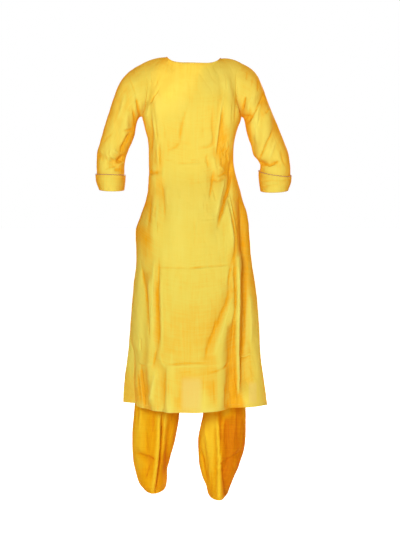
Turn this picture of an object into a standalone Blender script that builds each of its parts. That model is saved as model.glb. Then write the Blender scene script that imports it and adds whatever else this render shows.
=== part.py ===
"""A salwar kameez suit, set out as a general figure wears it: the kameez over the salwar.

Metres. +Z is up, the suit faces -Y and +X is the wearer's left. The origin lies midway between the
wearer's shoulders, which carry the kameez.

Each piece is a sheet of points, [row, column], that gets a thickness on its inner side. Neighbours share
their seam points, and each stands back from the seam, so that no two pieces touch.
"""

import bpy
import numpy as np

WALL = 0.0015
SEAM_BACK = 0.0002  # how far an edge stands back from its seam line
CUFF_CLEAR = 0.0008  # between the sleeve and the cuff turned up over it
PIPING_RADIUS = 0.0012

COLUMNS = 32  # across the back, and across the front
SHOULDER_COLUMNS = 5
ARMHOLE_ROWS = 10
BODY_ROWS = 22
SLEEVE_RINGS = 15
CUFF_RINGS = 3
LEG_COLUMNS = 24
SEAT_ROWS = 7
LEG_ROWS = 13

ARM_LEVEL = -0.194
HEM = -1.107
SLIT_ROW = 16
SLIT_TOP = ARM_LEVEL + (HEM - ARM_LEVEL) * SLIT_ROW / BODY_ROWS

LEFT_TIP, LEFT_NECK = np.array([0.1616, 0, -0.0300]), np.array([0.080, -0.004, -0.006])
RIGHT_TIP, RIGHT_NECK = np.array([-0.1600, 0, -0.0265]), np.array([-0.0940, -0.004, -0.010])
SHOULDER_RISE = 0.006  # how far the shoulder seam arches over its straight line
BACK_NECK_DROP, BACK_NECK_REACH, BACK_NECK_POWER = 0.0225, 0.059, 4.5
FRONT_NECK_DROP, FRONT_NECK_REACH, FRONT_NECK_POWER = 0.106, 0.084, 2.4
CORNER_WIDTH, CORNER_FADE = 0.22, 0.30  # the corners at the neck run out over these shares of the cloth

WAIST_TOP, WAIST_LOW, CROTCH = -0.446, -0.500, -0.720
LEG_FOLD_FADE = 0.160  # the folds of the legs fade in over this height below the crotch
BELT_WALL = 0.0022

KAMEEZ_YELLOW = (0.86, 0.62, 0.10)
PIPING_BROWN = (0.33, 0.12, 0.10)
SALWAR_YELLOW = (0.80, 0.42, 0.02)


def hermite(start, leave, end, arrive, t):
    """The cubic from start to end that leaves along one tangent and arrives along the other."""
    t2, t3 = t * t, t * t * t
    return (
        (2 * t3 - 3 * t2 + 1) * start
        + (t3 - 2 * t2 + t) * leave
        + (3 * t2 - 2 * t3) * end
        + (t3 - t2) * arrive
    )


def ease(t):
    t = np.clip(t, 0, 1)
    return t * t * (3 - 2 * t)


def unit(vectors):
    return vectors / np.linalg.norm(vectors, axis=-1, keepdims=True)


class Table:
    """Sizes in named columns, read between the rows by a curve that doesn't overshoot them."""

    def __init__(self, names, *rows):
        self.names = names.split()
        self.values = np.array(sorted(rows), float).T

    def read(self, name, at):
        x, y = self.values[0], self.values[self.names.index(name)]
        slope = np.diff(y) / np.diff(x)
        same_way = slope[1:] * slope[:-1] > 0
        total = np.where(same_way, slope[1:] + slope[:-1], 1)
        inner = np.where(same_way, 2 * slope[1:] * slope[:-1] / total, 0)
        tangent = np.concatenate([slope[:1], inner, slope[-1:]])
        at = np.clip(at, x[0], x[-1])
        k = np.clip(np.searchsorted(x, at) - 1, 0, len(x) - 2)
        width = x[k + 1] - x[k]
        return hermite(y[k], tangent[k] * width, y[k + 1], tangent[k + 1] * width, (at - x[k]) / width)

    def point(self, prefix, at):
        """The (x, 0, z) point held in the columns prefix_x and prefix_z."""
        return np.array([self.read(prefix + "_x", at), 0, self.read(prefix + "_z", at)])


# Side seams and depths of the kameez. Left and right are the half-widths at the wearer's left and right.
BODY = Table(
    "z left right back front",
    (-0.194, 0.1571, 0.1585, 0.097, 0.118),
    (-0.208, 0.1535, 0.1555, 0.097, 0.123),
    (-0.234, 0.1471, 0.1455, 0.094, 0.127),
    (-0.266, 0.1389, 0.1375, 0.087, 0.125),
    (-0.298, 0.1359, 0.1335, 0.078, 0.116),
    (-0.330, 0.1359, 0.1335, 0.070, 0.107),
    (-0.362, 0.1351, 0.1375, 0.067, 0.102),
    (-0.394, 0.1359, 0.1455, 0.072, 0.103),
    (-0.426, 0.1389, 0.1551, 0.082, 0.106),
    (-0.458, 0.1455, 0.1631, 0.093, 0.110),
    (-0.509, 0.1631, 0.1790, 0.108, 0.116),
    (-0.560, 0.1785, 0.1845, 0.118, 0.120),
    (-0.637, 0.1760, 0.1900, 0.128, 0.124),
    (-0.739, 0.1855, 0.2060, 0.140, 0.131),
    (-0.842, 0.1951, 0.2158, 0.151, 0.140),
    (-0.944, 0.2045, 0.2220, 0.161, 0.150),
    (-1.046, 0.2175, 0.2366, 0.175, 0.159),
    (-1.107, 0.2210, 0.2462, 0.180, 0.164),
)
ROUNDNESS = Table("z power", (-1.1, 0.94), (-0.6, 0.88), (-0.36, 0.86), (-0.27, 0.78), (-0.19, 0.66))

# Below the slit: how far each edge lies in from the side line and behind it, and, in degrees, how far the
# panel carries on round the side before its edge.
BACK_SLIT = Table(
    "drop left_in right_in left_y right_y left_wrap right_wrap",
    (0.000, 0.000, 0.000, 0.000, 0.000, 0.0, 0.0),
    (0.045, 0.007, 0.001, 0.020, 0.010, 0.0, 0.0),
    (0.090, 0.022, 0.002, 0.032, 0.018, 0.0, 0.0),
    (0.250, 0.043, 0.003, 0.052, 0.036, 0.0, 0.0),
)
FRONT_SLIT = Table(
    "drop left_in right_in left_y right_y left_wrap right_wrap",
    (0.000, 0.000, 0.000, 0.000, 0.000, 0.0, 0.0),
    (0.045, 0.000, 0.000, 0.000, 0.000, 22.0, 3.0),
    (0.090, 0.000, 0.000, 0.000, 0.000, 34.0, 9.0),
    (0.250, 0.000, 0.006, 0.000, 0.000, 42.0, 26.0),
)
WRAP_DEPTH = 0.045
BACK_HEM_RISE = Table(
    "across rise",
    (-1.00, -0.004),
    (-0.75, 0.006),
    (-0.45, 0.008),
    (-0.15, 0.002),
    (0.00, 0.000),
    (0.60, 0.000),
    (0.85, 0.004),
    (1.00, 0.008),
)

# Directions in which the cloth leaves the shoulder and neck, and reaches arm level, by distance across.
BACK_LEAVES = Table(
    "across x y z",
    (0.00, 0.000, 0.060, -0.130),
    (0.25, -0.040, 0.080, -0.130),
    (0.50, -0.090, 0.120, -0.120),
    (0.75, -0.100, 0.170, -0.080),
    (0.94, -0.108, 0.165, -0.060),
    (1.00, -0.100, 0.160, -0.050),
)
BACK_REACHES = Table(
    "across x y z",
    (0.00, 0.000, -0.010, -0.170),
    (0.25, 0.010, -0.020, -0.170),
    (0.50, 0.030, -0.040, -0.165),
    (0.75, 0.055, -0.090, -0.150),
    (0.94, 0.060, -0.150, -0.110),
    (1.00, 0.060, -0.180, -0.090),
)
FRONT_LEAVES = Table(
    "across x y z",
    (0.00, 0.000, -0.050, -0.080),
    (0.25, -0.030, -0.060, -0.080),
    (0.50, -0.080, -0.090, -0.080),
    (0.75, -0.110, -0.150, -0.080),
    (0.94, -0.122, -0.155, -0.060),
    (1.00, -0.120, -0.150, -0.050),
)
FRONT_REACHES = Table(
    "across x y z",
    (0.00, 0.000, -0.020, -0.120),
    (0.25, 0.010, -0.020, -0.130),
    (0.50, 0.040, -0.010, -0.145),
    (0.75, 0.070, 0.050, -0.140),
    (0.94, 0.080, 0.140, -0.110),
    (1.00, 0.080, 0.170, -0.090),
)

# Rings of the sleeves from armhole (0) to hem (11): the shoulder-side point, the underarm-side point,
# half the depth from front to back, and the middle of that depth.
LEFT_SLEEVE = Table(
    "ring outer_x outer_z inner_x inner_z half_depth mid_y slant",
    (0, 0.1616, -0.0300, 0.1556, -0.1940, 0.043, 0.000, 0.000),
    (1, 0.1930, -0.0485, 0.1630, -0.1950, 0.054, 0.000, 0.000),
    (2, 0.2165, -0.0715, 0.1664, -0.1990, 0.058, 0.000, 0.000),
    (3, 0.2345, -0.1024, 0.1710, -0.2080, 0.059, 0.000, 0.000),
    (4, 0.2505, -0.1470, 0.1760, -0.2270, 0.058, 0.000, 0.000),
    (5, 0.2645, -0.1890, 0.1800, -0.2500, 0.056, -0.002, 0.000),
    (6, 0.2785, -0.2300, 0.1905, -0.2760, 0.054, -0.005, 0.000),
    (7, 0.2920, -0.2750, 0.2020, -0.3000, 0.052, -0.009, 0.000),
    (8, 0.3035, -0.3170, 0.2110, -0.3270, 0.051, -0.013, 0.000),
    (9, 0.3045, -0.3520, 0.2145, -0.3550, 0.050, -0.016, 0.001),
    (10, 0.3030, -0.3940, 0.2160, -0.3970, 0.049, -0.019, 0.002),
    (11, 0.2945, -0.4240, 0.2180, -0.4260, 0.048, -0.020, 0.006),
)
RIGHT_SLEEVE = Table(
    "ring outer_x outer_z inner_x inner_z half_depth mid_y slant",
    (0, -0.1600, -0.0265, -0.1570, -0.1940, 0.043, 0.000, 0.000),
    (1, -0.1870, -0.0410, -0.1650, -0.1985, 0.054, 0.000, 0.000),
    (2, -0.2100, -0.0650, -0.1675, -0.2060, 0.058, 0.000, 0.000),
    (3, -0.2255, -0.0992, -0.1705, -0.2190, 0.059, 0.000, 0.000),
    (4, -0.2410, -0.1424, -0.1744, -0.2384, 0.058, 0.000, 0.000),
    (5, -0.2570, -0.1824, -0.1808, -0.2608, 0.056, 0.000, 0.000),
    (6, -0.2762, -0.2272, -0.1904, -0.2848, 0.054, -0.002, 0.000),
    (7, -0.2950, -0.2720, -0.1980, -0.3136, 0.052, -0.004, 0.000),
    (8, -0.3105, -0.3168, -0.2130, -0.3340, 0.051, -0.007, 0.005),
    (9, -0.3160, -0.3600, -0.2190, -0.3490, 0.050, -0.010, 0.008),
    (10, -0.3155, -0.3945, -0.2180, -0.3835, 0.049, -0.012, 0.009),
    (11, -0.3075, -0.4256, -0.2225, -0.4288, 0.048, -0.012, 0.008),
)
SLEEVE_END = 10.85
CUFF_FROM, CUFF_TO = 9.58, 11.0

# The salwar's seat, shared by both legs, and each leg below the crotch.
SEAT = Table(
    "z width mid_y half_depth spread",
    (-0.500, 0.130, -0.020, 0.080, 0.5),
    (-0.560, 0.150, -0.008, 0.090, 0.5),
    (-0.620, 0.157, -0.003, 0.094, 0.58),
    (-0.680, 0.158, 0.000, 0.096, 0.76),
    (-0.720, 0.157, 0.000, 0.096, 1.0),
)
LEFT_LEG = Table(
    "z outer inner mid_y half_depth pinch hem_rise",
    (-0.720, 0.157, 0.0002, 0.000, 0.096, 1.00, 0.000),
    (-0.840, 0.160, 0.008, -0.006, 0.090, 0.98, 0.000),
    (-0.960, 0.164, 0.022, -0.012, 0.083, 0.96, 0.000),
    (-1.080, 0.180, 0.034, -0.020, 0.076, 0.96, 0.000),
    (-1.140, 0.188, 0.038, -0.026, 0.080, 0.98, 0.000),
    (-1.238, 0.195, 0.053, -0.033, 0.092, 1.02, 0.002),
    (-1.306, 0.192, 0.071, -0.038, 0.098, 0.98, 0.001),
    (-1.345, 0.184, 0.080, -0.040, 0.102, 0.94, 0.001),
    (-1.373, 0.175, 0.081, -0.040, 0.104, 0.92, 0.001),
    (-1.391, 0.160, 0.083, -0.040, 0.104, 0.90, 0.001),
)
RIGHT_LEG = Table(
    "z outer inner mid_y half_depth pinch hem_rise",
    (-0.720, 0.157, 0.0002, 0.000, 0.096, 1.00, 0.000),
    (-0.840, 0.162, 0.010, -0.006, 0.088, 0.98, 0.000),
    (-0.960, 0.164, 0.022, -0.018, 0.078, 0.96, 0.000),
    (-1.080, 0.171, 0.034, -0.028, 0.072, 0.96, 0.000),
    (-1.140, 0.177, 0.038, -0.022, 0.076, 0.98, 0.000),
    (-1.238, 0.175, 0.021, -0.004, 0.088, 0.98, 0.002),
    (-1.306, 0.155, 0.024, 0.008, 0.100, 0.92, 0.001),
    (-1.345, 0.137, 0.034, 0.012, 0.106, 0.86, 0.001),
    (-1.372, 0.125, 0.046, 0.014, 0.107, 0.82, 0.001),
    (-1.395, 0.117, 0.052, 0.014, 0.107, 0.80, 0.001),
)

# Folds, each a trough (negative depth) or a ridge from its top end to its low end, as seen square on:
# (x, z) of both ends, half the width at both, and the depth at both.
BACK_FOLDS = (
    (0.128, -0.150, 0.130, -0.330, 0.016, 0.014, -0.007, -0.003),
    (0.106, -0.150, 0.108, -0.400, 0.016, 0.018, 0.006, 0.003),
    (0.002, -0.130, 0.040, -0.290, 0.022, 0.026, -0.003, -0.003),
    (-0.098, -0.130, -0.084, -0.300, 0.016, 0.016, -0.005, -0.005),
    (-0.114, -0.100, -0.118, -0.280, 0.015, 0.015, 0.006, 0.005),
    (-0.120, -0.370, -0.088, -0.535, 0.018, 0.022, -0.012, -0.008),
    (0.090, -0.420, 0.086, -0.560, 0.018, 0.024, -0.006, -0.006),
    (0.112, -0.470, 0.114, -0.560, 0.016, 0.018, 0.006, 0.006),
    (-0.064, -0.370, -0.062, -0.470, 0.016, 0.016, -0.005, -0.004),
    (-0.116, -0.480, -0.140, -0.660, 0.020, 0.024, 0.006, 0.008),
    (-0.172, -0.480, -0.178, -1.000, 0.022, 0.032, -0.012, -0.036),
    (-0.150, -0.640, -0.152, -1.040, 0.014, 0.016, 0.010, 0.014),
    (-0.126, -0.740, -0.040, -0.990, 0.024, 0.026, -0.006, -0.005),
    (-0.134, -0.800, -0.086, -0.920, 0.016, 0.016, 0.008, 0.006),
    (-0.126, -0.860, -0.138, -1.130, 0.018, 0.034, -0.012, -0.050),
    (-0.030, -0.950, -0.020, -1.130, 0.030, 0.040, 0.004, 0.008),
    (0.146, -0.700, 0.146, -0.940, 0.014, 0.018, -0.007, -0.006),
    (0.110, -0.720, 0.108, -0.960, 0.016, 0.018, -0.006, -0.004),
    (0.096, -0.720, 0.096, -0.960, 0.010, 0.012, 0.006, 0.005),
    (0.128, -0.720, 0.130, -1.000, 0.014, 0.016, 0.007, 0.006),
    (0.148, -1.000, 0.142, -1.130, 0.014, 0.018, -0.010, -0.014),
    (0.092, -0.980, 0.090, -1.130, 0.014, 0.014, -0.006, -0.010),
    (0.066, -0.980, 0.066, -1.130, 0.020, 0.020, 0.008, 0.016),
)
FRONT_FOLDS = (
    (0.085, -0.240, 0.085, -0.242, 0.050, 0.050, 0.016, 0.016),
    (-0.085, -0.240, -0.085, -0.242, 0.050, 0.050, 0.016, 0.016),
    (0.000, -0.200, 0.000, -0.280, 0.030, 0.030, -0.006, -0.006),
    (0.118, -0.360, 0.100, -0.560, 0.018, 0.022, -0.009, -0.007),
    (-0.114, -0.350, -0.096, -0.540, 0.018, 0.022, -0.009, -0.007),
    (0.050, -0.400, 0.046, -0.520, 0.016, 0.018, -0.004, -0.003),
    (0.156, -0.600, 0.170, -0.960, 0.020, 0.030, -0.003, -0.018),
    (-0.160, -0.600, -0.172, -0.980, 0.020, 0.030, -0.003, -0.020),
    (0.120, -0.700, 0.126, -1.130, 0.020, 0.026, 0.006, 0.010),
    (-0.126, -0.720, -0.132, -1.130, 0.020, 0.026, 0.006, 0.010),
    (0.066, -0.760, 0.074, -1.130, 0.022, 0.032, -0.006, -0.016),
    (-0.060, -0.800, -0.070, -1.130, 0.022, 0.032, -0.006, -0.014),
    (0.004, -0.860, 0.002, -1.130, 0.030, 0.036, 0.004, 0.009),
)
LEFT_SLEEVE_FOLDS = (
    (0.205, -0.120, 0.190, -0.215, 0.014, 0.012, -0.005, -0.006),
    (0.222, -0.150, 0.236, -0.300, 0.014, 0.014, -0.005, -0.003),
    (0.196, -0.190, 0.216, -0.270, 0.010, 0.012, 0.004, 0.004),
    (0.292, -0.318, 0.252, -0.342, 0.010, 0.010, -0.006, -0.007),
    (0.252, -0.342, 0.224, -0.330, 0.010, 0.009, -0.007, -0.005),
    (0.250, -0.300, 0.262, -0.322, 0.012, 0.012, 0.004, 0.005),
)
RIGHT_SLEEVE_FOLDS = (
    (-0.216, -0.140, -0.176, -0.205, 0.012, 0.010, -0.008, -0.007),
    (-0.226, -0.160, -0.188, -0.290, 0.012, 0.012, -0.007, -0.006),
    (-0.244, -0.180, -0.216, -0.320, 0.014, 0.012, 0.005, 0.004),
    (-0.270, -0.200, -0.256, -0.330, 0.014, 0.012, -0.004, -0.004),
    (-0.226, -0.340, -0.262, -0.342, 0.009, 0.010, -0.006, -0.006),
)
LEFT_LEG_FOLDS = (
    (0.101, -1.140, 0.122, -1.370, 0.009, 0.009, 0.008, 0.007),
    (0.088, -1.120, 0.106, -1.360, 0.009, 0.010, -0.008, -0.006),
    (0.064, -1.140, 0.080, -1.350, 0.012, 0.012, -0.008, -0.006),
    (0.178, -1.268, 0.118, -1.292, 0.012, 0.012, -0.006, -0.004),
    (0.150, -0.900, 0.150, -1.240, 0.018, 0.020, -0.006, -0.006),
    (0.120, -0.760, 0.110, -1.000, 0.024, 0.024, -0.008, -0.008),
)
RIGHT_LEG_FOLDS = (
    (-0.092, -1.120, -0.094, -1.190, 0.012, 0.012, -0.007, -0.004),
    (-0.086, -1.180, -0.088, -1.380, 0.010, 0.010, 0.008, 0.008),
    (-0.118, -1.180, -0.118, -1.380, 0.013, 0.012, -0.010, -0.009),
    (-0.160, -1.262, -0.092, -1.302, 0.011, 0.011, -0.006, -0.005),
    (-0.040, -1.240, -0.044, -1.340, 0.010, 0.010, -0.007, -0.007),
    (-0.140, -0.900, -0.150, -1.240, 0.018, 0.020, -0.006, -0.006),
    (-0.110, -0.760, -0.104, -1.000, 0.024, 0.024, -0.008, -0.008),
)
FRONT_OF_LEG_FOLDS = (
    (0.118, -0.800, 0.122, -1.370, 0.014, 0.010, 0.004, 0.010),
    (0.086, -0.860, 0.100, -1.340, 0.018, 0.014, -0.006, -0.007),
    (0.158, -0.900, 0.146, -1.330, 0.018, 0.014, -0.006, -0.007),
    (0.160, -1.270, 0.100, -1.295, 0.012, 0.012, -0.005, -0.005),
)


def mirrored(folds):
    return tuple((-x0, z0, -x1, z1, *rest) for x0, z0, x1, z1, *rest in folds)


def normals(grid, out, closed_from=None):
    """Unit normals of the sheet. Its last column meets its first from row closed_from down."""
    across = np.gradient(grid, axis=1)
    if closed_from is not None:
        meeting = (grid[closed_from:, 1] - grid[closed_from:, -2]) / 2
        across[closed_from:, 0] = across[closed_from:, -1] = meeting
    return out * unit(np.cross(across, np.gradient(grid, axis=0)))


def folded(grid, normal, folds, facing, weight=1.0):
    """The sheet with its folds, on the side that faces +Y (facing = 1) or -Y (facing = -1)."""
    x, z = grid[..., 0], grid[..., 2]
    shift = np.zeros_like(x)
    for x0, z0, x1, z1, half0, half1, depth0, depth1 in folds:
        run_x, run_z = x1 - x0, z1 - z0
        length = np.hypot(run_x, run_z)
        along = ((x - x0) * run_x + (z - z0) * run_z) / length**2
        t = np.clip(along, 0, 1)
        half = half0 + (half1 - half0) * t
        aside = ((x - x0) * run_z - (z - z0) * run_x) / length
        beyond = (along - t) * length
        shift += (depth0 + (depth1 - depth0) * t) * np.exp(-(aside**2 + (beyond / 1.6) ** 2) / half**2)
    turned = ease((normal[..., 1] * facing - 0.05) / 0.5)
    return grid + normal * (shift * turned * weight)[..., None]


def panel_row(z, facing):
    """Points across the back or the front at height z, from the wearer's right to the left."""
    slit = BACK_SLIT if facing > 0 else FRONT_SLIT
    drop = SLIT_TOP - z
    u = np.linspace(-1, 1, COLUMNS + 1)
    wrap = np.where(u > 0, slit.read("left_wrap", drop), slit.read("right_wrap", drop))
    turn = u * np.radians(90 + wrap)
    power = ROUNDNESS.read("power", z)
    outward = np.abs(np.sin(turn)) ** power
    deep = np.maximum(np.cos(turn), 0) ** power
    left = BODY.read("left", z) - slit.read("left_in", drop)
    right = BODY.read("right", z) - slit.read("right_in", drop)
    edge_y = np.where(u > 0, slit.read("left_y", drop), slit.read("right_y", drop))
    depth = facing * BODY.read("back" if facing > 0 else "front", z)
    x = np.where(u > 0, left, -right) * outward
    y = edge_y * (1 - deep) + depth * deep + facing * WRAP_DEPTH * np.minimum(np.cos(turn) + 1e-9, 0)
    rise = BACK_HEM_RISE.read("rise", u) * ease((SLIT_TOP - z) / (SLIT_TOP - HEM)) if facing > 0 else 0
    return np.stack([x, y, z + rise + np.zeros_like(x)], axis=-1)


def shoulder_seam(tip, neck):
    t = np.linspace(0, 1, SHOULDER_COLUMNS + 1)[:, None]
    return tip + (neck - tip) * t + 4 * t * (1 - t) * np.array([0, 0, SHOULDER_RISE])


def panel_top(facing):
    """The right shoulder seam, the neckline and the left shoulder seam."""
    drop, reach, power = FRONT_NECK_DROP, FRONT_NECK_REACH, FRONT_NECK_POWER
    if facing > 0:
        drop, reach, power = BACK_NECK_DROP, BACK_NECK_REACH, BACK_NECK_POWER
    turn = np.linspace(np.pi, 0, COLUMNS - 2 * SHOULDER_COLUMNS + 1)[1:-1]
    middle, half = (LEFT_NECK + RIGHT_NECK) / 2, (LEFT_NECK - RIGHT_NECK) / 2
    neckline = middle + np.cos(turn)[:, None] * half
    neckline[:, 1] += facing * reach * np.sin(turn) ** 0.8
    neckline[:, 2] -= drop * (1 - np.abs(np.cos(turn)) ** power)
    right, left = shoulder_seam(RIGHT_TIP, RIGHT_NECK), shoulder_seam(LEFT_TIP, LEFT_NECK)[::-1]
    return np.concatenate([right, neckline, left])


def smoothed(line):
    """The line with its corners taken off, between the same ends."""
    longer = np.concatenate([2 * line[0] - line[:0:-1], line, 2 * line[-1] - line[-2::-1]])
    own, other = np.linspace(-1, 1, len(line)), np.linspace(-3, 3, len(longer))
    weights = np.exp(-(((own[:, None] - other) / CORNER_WIDTH) ** 2))
    return weights @ longer / weights.sum(axis=1, keepdims=True)


def directions(table):
    u = np.linspace(-1, 1, COLUMNS + 1)
    x, y, z = (table.read(name, np.abs(u)) for name in "xyz")
    return np.stack([np.sign(u) * x, y, z], axis=-1)


def body_panel(facing, folds):
    """The back or the front: rows down the armholes, then level rows to the hem."""
    leaves, reaches = (BACK_LEAVES, BACK_REACHES) if facing > 0 else (FRONT_LEAVES, FRONT_REACHES)
    t = np.linspace(0, 1, ARMHOLE_ROWS + 1)[:-1, None, None]
    at_arm = panel_row(ARM_LEVEL, facing)
    top = panel_top(facing)
    start = smoothed(top)
    upper = hermite(start, directions(leaves), at_arm, directions(reaches), t)
    upper += (top - start) * (1 - ease(t / CORNER_FADE))
    lower = [panel_row(z, facing) for z in np.linspace(ARM_LEVEL, HEM, BODY_ROWS + 1)]
    grid = np.concatenate([upper, np.array(lower)])
    row = np.arange(len(grid))[:, None]
    u = np.linspace(-1, 1, COLUMNS + 1)
    from_seam = np.maximum(ease((1 - np.abs(u)) / 0.10), ease((row - ARMHOLE_ROWS - SLIT_ROW) / 3))
    weight = from_seam * ease(row / 3)
    return folded(grid, normals(grid, facing), folds, facing, weight)


def armhole(back, front, column):
    """The armhole as a loop: from the shoulder tip down the back to the underarm, and up the front."""
    down = back[: ARMHOLE_ROWS + 1, column]
    up = front[:ARMHOLE_ROWS, column][::-1]
    return np.concatenate([down, up])


def sleeve_ring(table, ring, swell=0.0):
    turn = np.linspace(0, 2 * np.pi, 2 * ARMHOLE_ROWS + 1)[:, None]
    outer, inner = table.point("outer", ring), table.point("inner", ring)
    reach = (outer - inner) / 2
    reach *= 1 + swell / np.linalg.norm(reach)
    forward = np.array([0, table.read("half_depth", ring) + swell, -table.read("slant", ring)])
    middle = (outer + inner) / 2 + np.array([0, table.read("mid_y", ring), 0])
    return middle + np.cos(turn) * reach + np.sin(turn) * forward


def sleeve(table, loop, out, folds):
    rings = np.linspace(0, SLEEVE_END, SLEEVE_RINGS + 1)
    off_oval = loop - sleeve_ring(table, 0)
    grid = np.array([sleeve_ring(table, r) + off_oval * (1 - ease(r / 2.5)) for r in rings])
    away_from_seams = ease(rings / 2) * ease((CUFF_FROM - rings) / 0.8)
    return folded(grid, normals(grid, out, 0), folds, 1, away_from_seams[:, None])


def cuff(table):
    rings = np.linspace(CUFF_FROM, CUFF_TO, CUFF_RINGS + 1)
    return np.array([sleeve_ring(table, r, CUFF_CLEAR + WALL + 0.0015 * (CUFF_TO - r)) for r in rings])


def piping_path(table):
    """The middle of the cord that stands on the top edge of the cuff."""
    return sleeve_ring(table, CUFF_FROM - 0.042, CUFF_CLEAR + WALL + 0.0016)[:-1]


def oval(turn, middle, half_width, mid_y, half_depth, power=1.0):
    """Points at angles from the outer side (0), through the back (90 degrees), to the inner side (180)."""
    x = middle + half_width * np.cos(turn)
    y = mid_y + half_depth * np.sign(np.sin(turn)) * np.abs(np.sin(turn)) ** power
    return x, y


def leg(table, hand, folds):
    """One leg with its half of the seat: columns run from the inside front, round the outside, to the back."""
    part = np.linspace(-1, 1, LEG_COLUMNS + 1)
    rows = []
    for z in np.linspace(WAIST_LOW, CROTCH, SEAT_ROWS + 1)[:-1]:
        turn = part * np.pi * SEAT.read("spread", z)
        half = SEAT.read("width", z) / (1 - np.cos(turn[-1]))
        x, y = oval(turn, -half * np.cos(turn[-1]), half, SEAT.read("mid_y", z), SEAT.read("half_depth", z))
        rows.append(np.stack([x, y, np.full_like(x, z)], axis=-1))
    low = table.values[0, 0]
    for z in low + (CROTCH - low) * np.linspace(1, 0, LEG_ROWS + 1) ** 1.5:
        outer, inner = table.read("outer", z), table.read("inner", z)
        turn = part * np.pi
        x, y = oval(
            turn, (outer + inner) / 2, (outer - inner) / 2,
            table.read("mid_y", z), table.read("half_depth", z), table.read("pinch", z),
        )
        rise = table.read("hem_rise", z) * np.abs(np.cos(turn)) ** 1.5
        rows.append(np.stack([x, y, z + rise], axis=-1))
    grid = np.array(rows) * [hand, 1, 1]
    weight = ease((CROTCH - grid[..., 2]) / LEG_FOLD_FADE)
    normal = normals(grid, -hand, SEAT_ROWS)
    front_folds = FRONT_OF_LEG_FOLDS if hand > 0 else mirrored(FRONT_OF_LEG_FOLDS)
    grid = folded(grid, normal, folds, 1, weight)
    return folded(grid, normal, front_folds, -1, weight)


def belt():
    turn = np.linspace(-np.pi, np.pi, COLUMNS + 1)
    x, y = oval(turn, 0, SEAT.read("width", WAIST_LOW), SEAT.read("mid_y", WAIST_LOW), SEAT.read("half_depth", WAIST_LOW))
    levels = np.linspace(WAIST_TOP, WAIST_LOW + 2 * SEAM_BACK, 3)
    return np.array([np.stack([x, y, np.full_like(x, z)], axis=-1) for z in levels])


def thickened(grid, out, closed_from=None, wall=WALL):
    """The outer and the inner points of a sheet."""
    return grid.copy(), grid - wall * normals(grid, out, closed_from)


def stand_back(sheet, where, seam, inward):
    """Moves the edge points at where off the seam, so that neither face of the wall reaches it."""
    outer, inner = sheet
    outer[where] += SEAM_BACK * inward
    over = SEAM_BACK - np.sum((inner[where] - seam) * inward, axis=-1, keepdims=True)
    inner[where] += np.maximum(over, 0) * inward


def parting(own, other, seam):
    """The direction that points from a seam into a piece, square to the plane that parts it from the other."""
    return unit(unit(own - seam) - unit(other - seam))


def closed_wall(name, sheet, out, colour, roughness, closed_from=None):
    """Makes the named solid: the outer face, the inner face and the rims between them."""
    outer, inner = sheet
    index = np.arange(outer.shape[0] * outer.shape[1]).reshape(outer.shape[:2])
    if closed_from is not None:
        index[closed_from:, -1] = index[closed_from:, 0]
    a, b, c, d = (part.ravel() for part in (index[:-1, :-1], index[:-1, 1:], index[1:, 1:], index[1:, :-1]))
    skin = np.concatenate([np.stack([a, b, c], axis=1), np.stack([a, c, d], axis=1)])
    if out < 0:
        skin = skin[:, ::-1]
    edges = {(int(p), int(q)) for face in skin for p, q in zip(face, np.roll(face, -1))}
    rim = [(p, q) for p, q in edges if (q, p) not in edges]
    n = index.size
    sides = [(q, p, p + n) for p, q in rim] + [(q, p + n, q + n) for p, q in rim]
    faces = np.concatenate([skin, skin[:, ::-1] + n, np.array(sorted(sides)).reshape(-1, 3)])
    used, faces = np.unique(faces, return_inverse=True)
    points = np.concatenate([outer.reshape(-1, 3), inner.reshape(-1, 3)])[used]
    mesh = bpy.data.meshes.new(name)
    mesh.from_pydata(points.tolist(), [], faces.reshape(-1, 3).tolist())
    mesh.shade_smooth()
    add_object(name, mesh, colour, roughness)


def add_object(name, data, colour, roughness):
    material = bpy.data.materials.new(name + "_cloth")
    material.use_nodes = True
    shader = material.node_tree.nodes["Principled BSDF"]
    shader.inputs["Base Color"].default_value = (*colour, 1)
    shader.inputs["Roughness"].default_value = roughness
    data.materials.append(material)
    bpy.data.collections["salwar_kameez_suit"].objects.link(bpy.data.objects.new(name, data))


def add_cord(name, path, radius, colour, roughness):
    """A closed round cord along the path."""
    curve = bpy.data.curves.new(name, "CURVE")
    curve.dimensions = "3D"
    curve.bevel_depth = radius
    curve.bevel_resolution = 1
    spline = curve.splines.new("POLY")
    spline.points.add(len(path) - 1)
    spline.points.foreach_set("co", np.c_[path, np.ones(len(path))].ravel())
    spline.use_cyclic_u = True
    add_object(name, curve, colour, roughness)


def clear_scene():
    for obj in list(bpy.data.objects):
        bpy.data.objects.remove(obj)
    suit = bpy.data.collections.new("salwar_kameez_suit")
    bpy.context.scene.collection.children.link(suit)


def part_side_seams(sheets, grids, column):
    """Parts back from front down one side seam and along one shoulder seam."""
    step = 1 if column == 0 else -1
    rows = np.arange(ARMHOLE_ROWS, ARMHOLE_ROWS + SLIT_ROW + 1)
    shoulder = column + step * np.arange(SHOULDER_COLUMNS + 1)
    for own, other in ((0, 1), (1, 0)):
        seam = grids[own][rows, column]
        inward = parting(grids[own][rows, column + step], grids[other][rows, column + step], seam)
        stand_back(sheets[own], (rows, np.full_like(rows, column)), seam, inward)
        seam = grids[own][0, shoulder]
        inward = parting(grids[own][1, shoulder], grids[other][1, shoulder], seam)
        stand_back(sheets[own], (np.zeros_like(shoulder), shoulder), seam, inward)


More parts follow.
